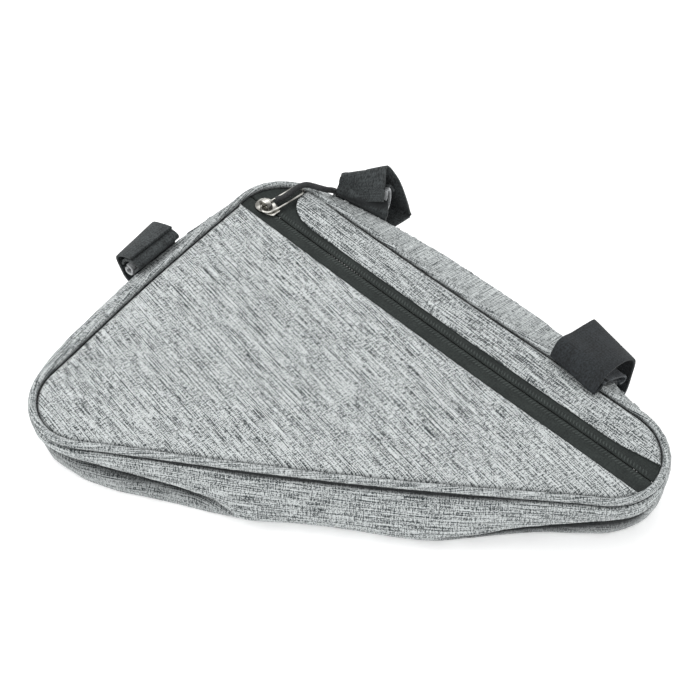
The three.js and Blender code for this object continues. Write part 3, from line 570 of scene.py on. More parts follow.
# %% [markdown]
# ## Dark tape, webbing and hook tape
# The zip's tapes are a close dark twill with a hint of green. The straps are a soft black webbing whose
# ribs run across them. The grey hook tape at the ends of the straps has a short stiff nap. Each finish
# has its own weave in the bump and a faint change of tone, so that none of them is one flat colour.

# %% Dark finishes
def dark_weave(name, source, turn, base, light, pitch, roughness, sheen, nap=0.5, relief=0.5):
    material, tree, shader = new_finish(name, Roughness=roughness, Sheen_Weight=sheen, Sheen_Roughness=0.4)
    place = surface_place(tree, source, turn)
    ribs = threads(tree, place, pitch, "X")
    cross = threads(tree, place, pitch * 0.8, "Y")
    fuzz = stretched_noise(tree, place, 0.8, 0.6, 3.0, 3.0, 0.6)
    mottle = stretched_noise(tree, place, 14.0, 7.0, 9.0, 2.0)
    specks = stretched_noise(tree, place, 1.7, 1.1, 5.0, 2.0, 0.7)
    tone = 0.45 + nap * (fuzz - 0.5) + 2 * nap * (specks - 0.5) + 1.1 * (mottle - 0.5)
    tone = tone + 0.35 * (ribs - 0.5) * cross
    tone = Wire.node(tree, "ShaderNodeClamp", {}, {"Value": tone})
    paint(tree, shader, mix_colour(tree, tone, base, light))
    add_bump(tree, shader, ribs * cross * relief + fuzz * 0.5, 0.4, 0.0004)
    return material


zip_slant = -35.6
zip_cloth = dark_weave(
    "zip_cloth", "Object", zip_slant, (0.0055, 0.0085, 0.0078, 1), (0.024, 0.031, 0.0285, 1),
    pitch=0.9, roughness=0.88, sheen=0.02, nap=1.1,
)
rib_cloth = dark_weave(
    "rib_cloth", "Object", zip_slant, (0.020, 0.027, 0.025, 1), (0.058, 0.070, 0.065, 1),
    pitch=0.9, roughness=0.75, sheen=0.04,
)
webbing = dark_weave(
    "webbing", "UV", 0, (0.006, 0.0078, 0.0085, 1), (0.050, 0.058, 0.060, 1),
    pitch=1.2, roughness=0.84, sheen=0.05, nap=1.5,
)
# Painted shade: a darker copy of the webbing, for the strap that lies in shade.
webbing_in_shade = dark_weave(
    "webbing_in_shade", "UV", 0, (0.003, 0.0042, 0.005, 1), (0.020, 0.025, 0.029, 1),
    pitch=1.2, roughness=0.86, sheen=0.02, nap=1.5,
)
# Painted shade: a darker copy of the hook tape, for the hook tape that lies in shade.
hook_tape_in_shade = dark_weave(
    "hook_tape_in_shade", "UV", 0, (0.02, 0.024, 0.027, 1), (0.11, 0.12, 0.13, 1),
    pitch=1.5, roughness=0.9, sheen=0.04, nap=1.2,
)
hook_cloth = dark_weave(
    "hook_cloth", "UV", 0, (0.18, 0.19, 0.195, 1), (0.50, 0.51, 0.52, 1),
    pitch=1.5, roughness=0.9, sheen=0.1, nap=1.2,
)
cord_cloth = dark_weave(
    "cord_cloth", "UV", 45, (0.006, 0.0065, 0.007, 1), (0.028, 0.030, 0.032, 1),
    pitch=1.3, roughness=0.7, sheen=0.15, relief=1.5,
)
print("finishes so far:", len(bpy.data.materials))


# %% [markdown]
# ## Polished metal and thread
# The slider and its wire loop are bright plated metal with small scratches, and patches of darker and
# brighter colour on them are painted reflections. The sewing thread is pale and slightly glossy. Both
# are small on the bag, so a light touch of noise is enough.

# %% Metal and thread
def plated_metal():
    material, tree, shader = new_finish("slider_metal", Metallic=1.0, Roughness=0.2)
    place = surface_place(tree, "Object", 20)
    scratches = stretched_noise(tree, place, 3.0, 0.3, 2.0, 4.0, 0.6)
    # Painted reflection: dark and bright patches of colour stand in for the surroundings that polished
    # metal reflects.
    painted_reflection = step_up(tree, stretched_noise(tree, place, 7.0, 4.0, 5.0, 0.0), 0.30, 0.66)
    connect(tree, 0.14 + 0.22 * scratches, shader, "Roughness")
    reflected_dark, reflected_light = (0.15, 0.146, 0.135, 1), (0.64, 0.63, 0.59, 1)
    connect(tree, mix_colour(tree, painted_reflection, reflected_dark, reflected_light), shader, "Base Color")
    add_bump(tree, shader, scratches, 0.06, 0.0002)
    return material


def thread_finish(name, base, light):
    material, tree, shader = new_finish(name, Roughness=0.6)
    place = surface_place(tree, "Object", -20)
    twist = stretched_noise(tree, place, 0.5, 0.3, 6.0, 2.0)
    connect(tree, mix_colour(tree, twist, base, light), shader, "Base Color")
    add_bump(tree, shader, twist, 0.2, 0.0002)
    return material


slider_metal = plated_metal()
grey_thread = thread_finish("grey_thread", (0.25, 0.27, 0.27, 1), (0.55, 0.58, 0.58, 1))
coil_plastic = thread_finish("coil_plastic", (0.012, 0.015, 0.014, 1), (0.04, 0.047, 0.044, 1))
print("small finishes:", slider_metal.name, grey_thread.name, coil_plastic.name)


# %% [markdown]
# ## Cutting the front face
# The front is one sheet of cloth shapes: a large panel, a narrow strip and two zip tapes between them.
# Their outlines are curves on the pattern, so a grid would leave stair steps. Instead the curves and a
# net of points go into a Delaunay triangulation, which keeps every curve as an edge. Triangles that are
# not on the piece are left out, and each point knows how far it is from the piece's own edge, so that
# the cloth can roll down into its seams.

# %% Curves of the front face
inset_ring = [beside_line(lap, -cord_radius - gap) for lap in laps_between(0, 3, 1.6)[:-1]]


def zip_curve(inset, start=-60.0, end=None, step=2.0):
    end = long_run + 60 if end is None else end
    count = round((end - start) / step)
    along = [start + (end - start) * k / count for k in range(count + 1)]
    return [zip_place(distance, inset(distance)) for distance in along]


def distances(points, curves):
    """Distance of each point from the nearest of the curves, in millimetres."""
    places = numpy.array([tuple(p) for p in points])
    nearest = numpy.full(len(places), 1e9)
    for curve, closed in curves:
        corners = numpy.array([tuple(p) for p in curve] + ([tuple(curve[0])] if closed else []))
        for start, end in zip(corners, corners[1:]):
            along = end - start
            share = numpy.clip(((places - start) @ along) / max(along @ along, 1e-9), 0, 1)
            away = places - start - share[:, None] * along
            nearest = numpy.minimum(nearest, numpy.hypot(away[:, 0], away[:, 1]))
    return nearest


def inside_ring(points, ring):
    places = numpy.array([tuple(p) for p in points])
    odd = numpy.zeros(len(places), bool)
    corners = [tuple(p) for p in ring]
    for (x1, y1), (x2, y2) in zip(corners, corners[1:] + corners[:1]):
        crossing = (places[:, 1] < y1) != (places[:, 1] < y2)
        at = x1 + (places[:, 1] - y1) * (x2 - x1) / ((y2 - y1) or 1e-9)
        odd ^= crossing & (places[:, 0] < at)
    return odd


# %% Points that help the cutter
def rim_points(curve, closed, rims):
    """Places a little to each side of a curve's own points, each with its distance from them."""
    made, count = [], len(curve)
    for k in range(count):
        if closed or k not in (0, count - 1):
            before, after = curve[(k - 1) % count], curve[(k + 1) % count]
            side = Vector((after.y - before.y, before.x - after.x)).normalized()
            made += [(curve[k] + side * (rim * sign), rim) for rim in rims for sign in (-1, 1)]
    return made


def even_net(low, high, spacing):
    """Staggered rows of points over a box, as in a honeycomb."""
    net, row, y = [], 0, low.y
    while y < high.y:
        offset = spacing / 2 if row % 2 else 0
        count = int((high.x - low.x) / spacing) + 1
        net += [Vector((low.x + offset + spacing * k, y)) for k in range(count)]
        y += spacing * 0.866
        row += 1
    return net


print("ring of", len(inset_ring), "points")


# %% The cutter
def cut_cloth(name, curves, keep, height, material, spacing=2.2, rims=(0.5, 1.1, 2.0), shading=None):
    """curves are (points, closed) pairs, keep says which places are on the piece.
    height and shading are given a place and its distance from the curves."""
    points, pairs = [], []
    for curve, closed in curves:
        first, count = len(points), len(curve)
        points += list(curve)
        pairs += [(first + k, first + (k + 1) % count) for k in range(count if closed else count - 1)]
    low = Vector((min(p.x for p in points), min(p.y for p in points)))
    high = Vector((max(p.x for p in points), max(p.y for p in points)))
    beside = [pair for curve, closed in curves for pair in rim_points(curve, closed, rims)]
    reach = distances([place for place, _ in beside], curves)
    points += [place for (place, rim), near in zip(beside, reach) if near > 0.93 * rim]
    net = even_net(low, high, spacing)
    net = [place for place, wanted in zip(net, keep(net)) if wanted]
    points += [p for p, near in zip(net, distances(net, curves)) if near > rims[-1] + 0.6 * spacing]
    made, _, triangles, _, _, _ = delaunay_2d_cdt(points, pairs, [], 0, 1e-5)
    centres = [sum((made[k] for k in face), Vector((0, 0))) / 3 for face in triangles]
    kept = [list(face) for face, wanted in zip(triangles, keep(centres)) if wanted]
    used = sorted({k for face in kept for k in face})
    order = {old: new for new, old in enumerate(used)}
    places = [made[k] for k in used]
    near = distances(places, curves)
    solid = [Vector((p.x, p.y, height(p, edge))) for p, edge in zip(places, near)]
    faces = [[order[k] for k in face] for face in kept]
    shade = [shading(p, edge) for p, edge in zip(places, near)] if shading else None
    return finish_mesh(name, solid, faces, None, straight_up, material, shade)


# %% [markdown]
# ## The front panel
# The big triangle of cloth is sewn along the piping on two sides and turned under along the zip. Real
# cloth never lies flat there: it rolls down into the seam, puckers a little beside the stitches, and
# the empty bag leaves soft dents. All three are moves of the height, small enough to read as cloth.


# %% Make the front panel
ring_roll, roll_reach = -2.1, 1.3


def on_face(points, rule):
    """rule(distance, inset) says whether a place inside the ring is on the piece."""
    within = inside_ring(points, inset_ring)
    return [bool(inside) and rule(*zip_ruler(point)) for point, inside in zip(points, within)]


def on_panel(points):
    return on_face(points, lambda distance, inset: inset > lower_seam(distance))


def panel_height(point, edge):
    x, y = point.x, point.y
    soft = 0.55 * rough(x / 55, y / 55, 0, 1) + 0.25 * rough(x / 19, y / 19, 0, 2)
    pucker = 0.22 * rough(x / 5.5, y / 5.5, 0, 3) * math.exp(-edge / 7)
    distance, inset = zip_ruler(point)
    from_zip = inset - lower_seam(distance)
    roll = (ring_roll if from_zip > edge + 0.4 else -0.5) * math.exp(-((edge / roll_reach) ** 2))
    stitched = -0.25 * math.exp(-(((from_zip - stitch_away) / 0.7) ** 2))
    return front_height(point) + smooth(edge, 0, 14) * soft + pucker + roll + stitched


panel_curves = [(inset_ring, True), (zip_curve(lower_seam), False)]


def ring_shade(seam):
    """Painted shade in the seam beside the piping, and only there."""

    def shading(point, edge):
        distance, inset = zip_ruler(point)
        beside_ring = abs(inset - seam(distance)) > edge + 0.3
        return 0.92 * math.exp(-((edge / 0.85) ** 2)) if beside_ring else 0.0

    return shading


panel = cut_cloth(
    "cloth_front_panel", panel_curves, on_panel, panel_height, panel_cloth, shading=ring_shade(lower_seam)
)
dress(thicken(panel, panel_skin), "panel_cloth", "front_panel")


# %% [markdown]
# ## The strip above the zip
# The strip is narrow and crowned, and its free end beside the slider puffs up and is rounded. It is cut
# with the same tool, from the ring, the upper seam and the curve of the rounded end.

# %% A smooth curve through points
class SmoothPath:
    """A centripetal Catmull-Rom curve, evenly shared among its points."""

    def __init__(self, points):
        first = points[0] * 2 - points[1]
        last = points[-1] * 2 - points[-2]
        self.points, self.spans = [first] + list(points) + [last], len(points) - 1

    def at(self, share):
        travel = share * self.spans
        span = min(int(travel), self.spans - 1)
        t = travel - span
        p0, p1, p2, p3 = self.points[span:span + 4]
        d0, d1, d2 = [max((b - a).length ** 0.5, 1e-3) for a, b in ((p0, p1), (p1, p2), (p2, p3))]
        out_1 = ((p1 - p0) / d0 - (p2 - p0) / (d0 + d1) + (p2 - p1) / d1) * d1
        out_2 = ((p2 - p1) / d1 - (p3 - p1) / (d1 + d2) + (p3 - p2) / d2) * d1
        a = p1 * 2 - p2 * 2 + out_1 + out_2
        b = p2 * 3 - p1 * 3 - out_1 * 2 - out_2
        return ((a * t + b) * t + out_1) * t + p1


# %% The strip's outline: its seam lifts at the narrow corner, and its free end is rounded
def strip_seam(distance):
    return upper_seam(distance) - 4.6 * smooth(distance, 300, 338)


seam_start = 62.0
tip_stops = [
    (seam_start, strip_seam(seam_start)), (54, 25.2), (47.5, 24.2), (41.5, 22.0), (36.4, 18.4),
    (33.6, 14.0), (32.4, 8.5), (31.8, 3.0), (31.6, -2.5), (31.6, -7.5),
]
tip_path = SmoothPath([Vector(stop) for stop in tip_stops])
strip_tip = [tip_path.at(k / 60) for k in range(61)]
tip_curve = [zip_place(p.x, p.y) for p in strip_tip]
tip_outline = strip_tip + [Vector((seam_start, -7.5))]
print("rounded end:", len(tip_curve), "points")


def on_strip(points):
    past_tip = inside_ring([Vector(zip_ruler(point)) for point in points], tip_outline)
    on_run = on_face(points, lambda distance, inset: distance > seam_start and inset < strip_seam(distance))
    on_tip = on_face(points, lambda distance, inset: distance <= seam_start)
    return [run or (tip and bool(past)) for run, tip, past in zip(on_run, on_tip, past_tip)]


# %% Make the strip
def strip_height(point):
    distance, inset = zip_ruler(point)
    across = min(max(inset / upper_seam(distance), 0), 1)
    past = (distance - strip_end) / (strip_width * 1.6)
    puff = strip_puff * (0.25 + 0.75 * math.exp(-past * past))
    return front_height(point) + puff * math.sin(math.pi * across)


def strip_surface(point, edge):
    distance, inset = zip_ruler(point)
    soft = 0.3 * rough(distance / 26, inset / 9, 0, 5) + 0.18 * rough(distance / 9, inset / 12, 0, 6)
    pucker = 0.22 * rough(distance / 4.5, inset / 6, 0, 7) * math.exp(-edge / 6)
    beside_ring = strip_seam(distance) - inset > edge + 0.4 and distance > 60
    roll = (ring_roll if beside_ring else -0.9) * math.exp(-((edge / roll_reach) ** 2))
    return strip_height(point) + smooth(edge, 0, 6) * soft + pucker + roll


strip_curves = [(inset_ring, True), (zip_curve(strip_seam, seam_start), False), (tip_curve, False)]
shade_of_strip_seam = ring_shade(strip_seam)


def strip_shade(point, edge):
    """Painted shade in the seam, but not round the free end."""
    return shade_of_strip_seam(point, edge) if zip_ruler(point)[0] > 48 else 0.0


strip = cut_cloth(
    "cloth_front_strip", strip_curves, on_strip, strip_surface, strip_cloth, 1.7, shading=strip_shade
)
dress(thicken(strip, panel_skin), "strip_cloth", "front_strip")

# %% [markdown]
# ## The zip's tapes
# Two dark tapes meet at the groove. They lie under the cloth on either side and run as far as the
# piping at both ends. Beside the groove the coil on the back pushes the tape up in a low ridge.


# %% Make the tapes
def tape_height(point, edge=0.0):
    distance, inset = zip_ruler(point)
    from_groove = abs(inset - groove(distance))
    over_coil = 0.35 * math.exp(-(((from_groove - 2.6) / 1.6) ** 2))
    ridge = over_coil - 0.35 * math.exp(-((from_groove / 0.7) ** 2))
    return front_height(point) - wall - gap + ridge + 0.12 * rough(distance / 12, inset / 6, 0, 8)


def lower_tape_starts(distance):
    return groove(distance) + groove_half


def lower_tape_ends(distance):
    return lower_seam(distance) + tape_under


def upper_tape_starts(distance):
    return strip_seam(distance) - tape_under


def upper_tape_ends(distance):
    return groove(distance) - groove_half


upper_tape_cut = strip_end + 4


def on_lower_tape(points):
    return on_face(points, lambda d, inset: lower_tape_starts(d) < inset < lower_tape_ends(d))


def on_upper_tape(points):
    def rule(distance, inset):
        top = upper_tape_starts(distance) if distance > upper_tape_cut else -5
        return top < inset < upper_tape_ends(distance)

    return on_face(points, rule)


cut_insets = (-12, -6, 0, 6, 12, upper_tape_starts(upper_tape_cut))
lower_edges = [zip_curve(lower_tape_starts), zip_curve(lower_tape_ends)]
upper_edges = [zip_curve(upper_tape_ends), zip_curve(upper_tape_starts, upper_tape_cut)]
upper_edges += [[zip_place(upper_tape_cut, inset) for inset in cut_insets]]
tapes = (("lower", on_lower_tape, lower_edges), ("upper", on_upper_tape, upper_edges))
for name, on_tape, tape_edges in tapes:
    tape_curves = [(inset_ring, True)] + [(curve, False) for curve in tape_edges]
    tape = cut_cloth("tape_" + name, tape_curves, on_tape, tape_height, zip_cloth, 1.6, (0.7, 1.4))
    dress(thicken(tape, tape_skin), "zip_tape", "zip_tape_" + name)


# %% [markdown]
# ## Rows of small things with Geometry Nodes
# Stitches, the ribs that the coil presses into the tape and the coil's own turns are all one idea: a
# small rounded grain repeated along a line. One node tree makes such a row. It takes the line as a
# mesh of edges, spaces points along it, sets a grain on each and turns it, and has named inputs for
# the pitch, the grain's size and its turn. It is built once and used for every row.

# %% The node tree for a row of grains
def row_tree():
    tree = bpy.data.node_groups.new("row_of_grains", "GeometryNodeTree")
    tree.interface.new_socket("Geometry", in_out="OUTPUT", socket_type="NodeSocketGeometry")
    tree.interface.new_socket("Geometry", in_out="INPUT", socket_type="NodeSocketGeometry")
    for name, kind in (("Pitch", "Float"), ("Size", "Vector"), ("Turn", "Float"), ("Finish", "Material")):
        tree.interface.new_socket(name, in_out="INPUT", socket_type="NodeSocket" + kind)
    made = {}
    steps = [
        ("inputs", "NodeGroupInput"), ("line", "GeometryNodeMeshToCurve"),
        ("points", "GeometryNodeCurveToPoints"), ("grain", "GeometryNodeMeshUVSphere"),
        ("sized", "GeometryNodeTransform"),
        ("ahead", "FunctionNodeAlignRotationToVector"), ("level", "FunctionNodeAlignRotationToVector"),
        ("angle", "ShaderNodeCombineXYZ"), ("turned", "FunctionNodeRotateRotation"),
        ("set", "GeometryNodeInstanceOnPoints"), ("real", "GeometryNodeRealizeInstances"),
        ("smooth", "GeometryNodeSetShadeSmooth"), ("paint", "GeometryNodeSetMaterial"),
        ("out", "NodeGroupOutput"),
    ]
    for name, kind in steps:
        made[name] = tree.nodes.new(kind)
    made["points"].mode = "LENGTH"
    made["grain"].inputs["Segments"].default_value = 8
    made["grain"].inputs["Rings"].default_value = 4
    made["grain"].inputs["Radius"].default_value = 0.5
    made["ahead"].axis = "X"
    made["level"].axis = "Z"
    made["level"].pivot_axis = "X"
    made["level"].inputs["Vector"].default_value = (0, 0, 1)
    made["turned"].rotation_space = "LOCAL"
    links = [
        ("inputs", "Geometry", "line", "Mesh"), ("line", "Curve", "points", "Curve"),
        ("inputs", "Pitch", "points", "Length"), ("grain", "Mesh", "sized", "Geometry"),
        ("inputs", "Size", "sized", "Scale"), ("points", "Tangent", "ahead", "Vector"),
        ("ahead", "Rotation", "level", "Rotation"), ("level", "Rotation", "turned", "Rotation"),
        ("inputs", "Turn", "angle", "Z"), ("angle", "Vector", "turned", "Rotate By"),
        ("points", "Points", "set", "Points"), ("sized", "Geometry", "set", "Instance"),
        ("turned", "Rotation", "set", "Rotation"), ("set", "Instances", "real", "Geometry"),
        ("real", "Geometry", "smooth", "Geometry"), ("smooth", "Geometry", "paint", "Geometry"),
        ("inputs", "Finish", "paint", "Material"), ("paint", "Geometry", "out", "Geometry"),
    ]
    for source, output, target, target_input in links:
        tree.links.new(made[source].outputs[output], made[target].inputs[target_input])
    return tree


grain_tree = row_tree()
print("nodes in the tree:", len(grain_tree.nodes))


# %% Run a tree and keep its mesh
def grown(piece, tree, values):
    modifier = piece.modifiers.new("grown", "NODES")
    modifier.node_group = tree
    for item in tree.interface.items_tree:
        if item.item_type == "SOCKET" and item.in_out == "INPUT" and item.name in values:
            modifier[item.identifier] = values[item.name]
    graph = bpy.context.evaluated_depsgraph_get()
    result = bpy.data.meshes.new_from_object(piece.evaluated_get(graph), depsgraph=graph)
    piece.modifiers.remove(modifier)
    piece.data = result
    return piece


def grain_row(name, points, pitch, size, turn, finish):
    """size is the grain's length along the row, its width and its height, in millimetres."""
    line = bpy.data.meshes.new(name)
    line.from_pydata([metres(p) for p in points], [(k, k + 1) for k in range(len(points) - 1)], [])
    piece = bpy.data.objects.new(name, line)
    bpy.context.scene.collection.objects.link(piece)
    size = tuple(0.001 * value for value in size)
    values = {"Pitch": 0.001 * pitch, "Size": size, "Turn": math.radians(turn), "Finish": finish}
    return grown(piece, grain_tree, values)


# %% Ribs of the tape and turns of the coil
def zip_line(inset, lift, start, end, surface):
    line = []
    for k in range(int((end - start) / 2) + 1):
        distance = start + 2 * k
        place = zip_place(distance, inset(distance))
        line.append(Vector((place.x, place.y, surface(place) + lift)))
    return line


zip_end = long_run - right_radius * 2.35
ribs_start = slider_distance + slider_length / 2 + 2
coil_pitch, rib_away, rib_slant = 2.2, 2.5, 62
for name, side in (("ribs_lower", 1), ("ribs_upper", -1)):
    line = zip_line(lambda d: groove(d) + side * rib_away, -0.22, ribs_start, zip_end, tape_height)
    ribs = grain_row("zip_" + name, line, coil_pitch, (3.6, 1.15, 1.1), side * rib_slant, rib_cloth)
    dress(ribs, "zip_tape")
coil_line = zip_line(groove, -2.6, ribs_start, zip_end, lambda place: front_height(place) - wall - gap)
coil = grain_row("coil_turns", coil_line, coil_pitch, (1.5, 5.0, 1.7), 0, coil_plastic)
dress(coil, "zip_coil", "zip_coil")

# %% [markdown]
# ## Stitches along the zip
# A row of short stitches holds each turned edge down beside the zip. On the real bag they sink into
# the cloth and only just show, so the grains lie nearly flush with it.

# %% Make the stitches
def panel_top(place):
    return panel_height(place, stitch_away)


def strip_top(place):
    return strip_surface(place, stitch_away)


panel_line = zip_line(lambda d: lower_seam(d) + stitch_away, -0.12, 14, zip_end + 12, panel_top)
strip_line = zip_line(lambda d: strip_seam(d) - stitch_away, -0.05, seam_start, zip_end + 22, strip_top)
for name, line in (("stitches_panel", panel_line), ("stitches_strip", strip_line)):
    plan = [point.to_2d() for point in line]
    clear = zip(line, inside_ring(plan, inset_ring), distances(plan, [(inset_ring, True)]))
    line = [point for point, within, away in clear if within and away > 3]
    dress(grain_row(name, line, 3.0, (2.2, 0.5, 0.45), 0, grey_thread), "panel_cloth")


# %% [markdown]
# ## The gusset
# The gusset is the long band that gives the bag its depth. Empty, it buckles outwards along the long
# edge and folds in below the bottom edge's piping near both corners. The table of sections, which was
# read from the photograph, gives its profile at every lap. Here the band is lofted finely from it, and
# creases and small crinkles are added along the wall's own normal.

# %% Points on the gusset
foot = 0.4


def piping_height(lap):
    return front_height(line_point(lap)) - 1.0


def profile(section, head, climb):
    """How far out and how high the wall is at a climb, for a section of the table."""
    crease_height = foot + (head - foot) * section["crease"]
    crease_out = depth * section["out"]
    if climb < 0.5:
        t = climb * 2
        bulge = depth * section["lower"] * math.sin(math.pi * t)
        lean = depth * section["lean"]
        return Vector((lean + (crease_out - lean) * t + bulge, foot + (crease_height - foot) * t))
    t = (climb - 0.5) * 2
    bulge = depth * section["upper"] * math.sin(math.pi * t**0.7)
    out_here = crease_out + (wall / 2 - crease_out) * t + bulge
    return Vector((out_here, crease_height + (head - crease_height) * t))


def gusset_row(lap, climbs, push):
    """Places on the wall, at climbs from 0 at the foot to 1 at the piping, moved out by push."""
    section = section_at(lap)
    head = piping_height(lap) - cord_radius - gap
    plan, normal = line_point(lap), line_normal(lap)
    row = []
    for climb in climbs:
        below = profile(section, head, max(climb - 0.01, 0))
        above = profile(section, head, min(climb + 0.01, 1))
        slope = (above - below).normalized()
        place = profile(section, head, climb) + Vector((slope.y, -slope.x)) * push(lap, climb)
        ground = plan + normal * place.x
        row.append(Vector((ground.x, ground.y, place.y)))
    return row


def outward_from_middle(centre):
    middle = Vector((-40.0 + shift.x, 75.0 + shift.y, centre.z))
    return (centre - middle).normalized()


# %% Creases and crinkles
def lower_push(lap, climb):
    turn = (lap - 2) % 3
    run = 500 * turn
    tall = 1 - abs(2 * climb - 1) ** 4
    waves = 0.45 * rough(run / 60, climb * 2.2, 0, 11) + 0.25 * rough(run / 14, climb * 5, 0, 12)
    crinkle = 0.14 * rough(run / 4, climb * 4, 0, 13)
    pucker = 0.25 * rough(run / 3.4, 0.3, 0, 14) * smooth(climb, 0.8, 0.98)
    fold = folded(lap)
    tuck = -4.2 * fold * math.exp(-(((climb - 0.45) / 0.055) ** 2))
    lip = 1.2 * fold * math.exp(-(((climb - 0.54) / 0.04) ** 2))
    under_piping = -1.3 * smooth(climb, 0.93, 0.99)
    return (waves + crinkle) * tall + pucker + tuck + lip + under_piping


def folded(lap):
    """How far the wall is folded in below the piping: near both ends of the bottom edge."""
    turn = (lap - 2) % 3
    left = smooth(turn, 0.88, 0.98) * (1 - smooth(turn, 1.26, 1.36))
    right = smooth(turn, 1.62, 1.74) * (1 - smooth(turn, 1.95, 1.995))
    return left + 1.35 * right


# Painted shade: a dark line in the seam under the piping, and painted shadow below the folds near both
# corners, stronger at the right.
def gusset_shade(lap, climb):
    seam = 0.97 * smooth(climb, 0.942, 0.966)
    fold = folded(lap) * (1.35 if (lap - 2) % 3 > 1.5 else 0.92)
    under = 0.80 * fold * math.exp(-(((climb - 0.46) / 0.075) ** 2)) * (climb < 0.5)
    under += 0.46 * fold * smooth(climb, 0.0, 0.40) * (climb < 0.5)
    return min(seam + under, 0.97)


def top_push(lap, climb):
    run = 370 * (lap - 1)
    tall = 1 - abs(2 * climb - 1) ** 4
    ridged = 1 - 2 * abs(rough(run / 7.5, climb * 1.6, 0, 21))
    folds = 0.42 * (ridged - 0.5) + 0.5 * rough(run / 22, climb * 1.3, 0, 22)
    crinkle = 0.18 * rough(run / 3, climb * 5, 0, 23)
    pucker = 0.25 * rough(run / 3.2, 0.7, 0, 24) * smooth(climb, 0.85, 0.98)
    ends = smooth(lap, 1.0, 1.04) * (1 - smooth(lap, 1.96, 2.0))
    return ((folds + crinkle) * tall + pucker) * ends


# %% Loft the two lengths of the gusset
climb_steps = [k / 34 for k in range(35)] + [0.425, 0.455, 0.475, 0.49, 0.51, 0.535, 0.955, 0.985]
climb_steps = sorted(set(climb_steps))
lower_laps, top_laps = laps_between(2.0004, 3.9996, 1.4), laps_between(1.0004, 1.9996, 1.0)


def wall_piece(name, laps, push, cloth):
    rows = [gusset_row(lap, climb_steps, push) for lap in laps]
    shade = [gusset_shade(lap, climb) for lap in laps for climb in climb_steps]
    seam_column = len(climb_steps) - 1
    return grid_piece(name, rows, outward_from_middle, cloth, datum=seam_column, shade=shade)


gusset_lower = wall_piece("cloth_gusset_lower", lower_laps, lower_push, gusset_cloth)
gusset_top = wall_piece("cloth_gusset_top", top_laps, top_push, top_gusset_cloth)
dress(thicken(gusset_lower, gusset_skin), "gusset_cloth", "gusset_lower")
dress(thicken(gusset_top, gusset_skin), "gusset_cloth", "gusset_top")


# %% [markdown]
# ## The piping
# A covered cord runs round the front and the back seam. It is a long tube in a ring, fine enough for
# the small puckers of its cover, with the grain of the cloth running at a slant because such covers
# are cut on the bias. The tube's UV map follows its own length, so the slant holds round the corners.

# %% Tubes along a line of centres
def tube_rows(centres, radius, sides, closed, swell=lambda k, angle: 0.0):
    count, rows = len(centres), []
    side = None
    for k, centre in enumerate(centres):
        before = centres[(k - 1) % count] if closed or k else centre
        after = centres[(k + 1) % count] if closed or k < count - 1 else centre
        ahead = (after - before).normalized()
        if side is None:
            side = ahead.cross(Vector((0, 0, 1))).normalized()
        side = (side - ahead * side.dot(ahead)).normalized()
        up = side.cross(ahead)
        ring = []
        for j in range(sides):
            angle = 2 * math.pi * j / sides
            reach = radius + swell(k, angle)
            ring.append(centre + side * (reach * math.cos(angle)) + up * (reach * math.sin(angle)))
        rows.append(ring)
    return rows


def tube_outward(centres):
    """A rule for the way out of a tube: away from the nearest of its centres."""
    lines = numpy.array([tuple(c) for c in centres])

    def away(centre):
        local = numpy.array((centre.x - shift.x, centre.y - shift.y, centre.z))
        return Vector(local - lines[int(((lines - local) ** 2).sum(axis=1).argmin())])

    return away


# %% Make the piping
piping_sides = 14


def piping(name, height, outset, node, seed):
    centres = []
    for lap in laps_between(0, 3, 1.4)[:-1]:
        plan = beside_line(lap, outset(lap))
        centres.append(Vector((plan.x, plan.y, height(lap))))

    def swell(k, angle):
        return 0.26 * rough(k / 2.6, angle, 0, seed) + 0.16 * rough(k / 9, angle / 2, 0, seed + 1)

    rows = tube_rows(centres, cord_radius, piping_sides, True, swell)
    # Painted shade on the cord's underside and on its inner side, where it meets the cloth.
    shade = []
    for j in range(piping_sides):
        angle = 2 * math.pi * j / piping_sides
        underneath = 0.92 * smooth(-math.sin(angle), 0.25, 0.65)
        shade.append(max(underneath, 0.7 * smooth(-math.cos(angle), 0.8, 1.0)))
    piece = grid_piece(name, rows, tube_outward(centres), piping_cloth, True, True, shade=shade * len(rows))
    return dress(piece, "piping_cloth", node)


piping("cloth_piping_front", piping_height, lambda lap: 0.0, "piping_front", 31)
piping("cloth_piping_back", lambda lap: cord_radius, rolled_lean, "piping_back", 41)

# %% [markdown]
# ## The back panel
# The bag lies on its back panel. It is cut like the front one, from the ring inside the rolled-in
# piping, and rises a little in soft folds because nothing weighs it down.

# %% Make the back panel
back_ring = back_rim(laps_between(0, 3, 1.8)[:-1])


def back_height(point, edge):
    soft = 0.5 + 0.5 * rough(point.x / 45, point.y / 45, 0, 51)
    return 1.15 + 0.45 * soft * smooth(edge, 0, 10)


def on_back(points):
    return [bool(within) for within in inside_ring(points, back_ring)]


back = cut_cloth("cloth_back_panel", [(back_ring, True)], on_back, back_height, shade_cloth, 3.2)
dress(thicken(back, panel_skin), "shade_cloth", "back_panel")


# %% [markdown]
# ## The wrap straps
# Three short straps of dark webbing hold the bag to the frame's tubes. Each is sewn to the gusset and
# curls into an open roll, stiff enough to keep its shape. Its path is a list of places across the
# bag's edge: on the gusset's wall, over the front edge, or free in the air. Two smooth curves run
# along its sides and a ruled surface joins them, which is just how a stiff strap bends.

# %% Places of a strap
top_cut = edges[SHORT].start_trim - edges[SHORT].start_arc


def edge_lap(side, distance):
    """The lap on the long or short edge at a distance in millimetres from the top corner's end."""
    travel = distance - top_cut
    run = edges[LONG].length - travel if side == LONG else travel
    return side + run / edges[side].length


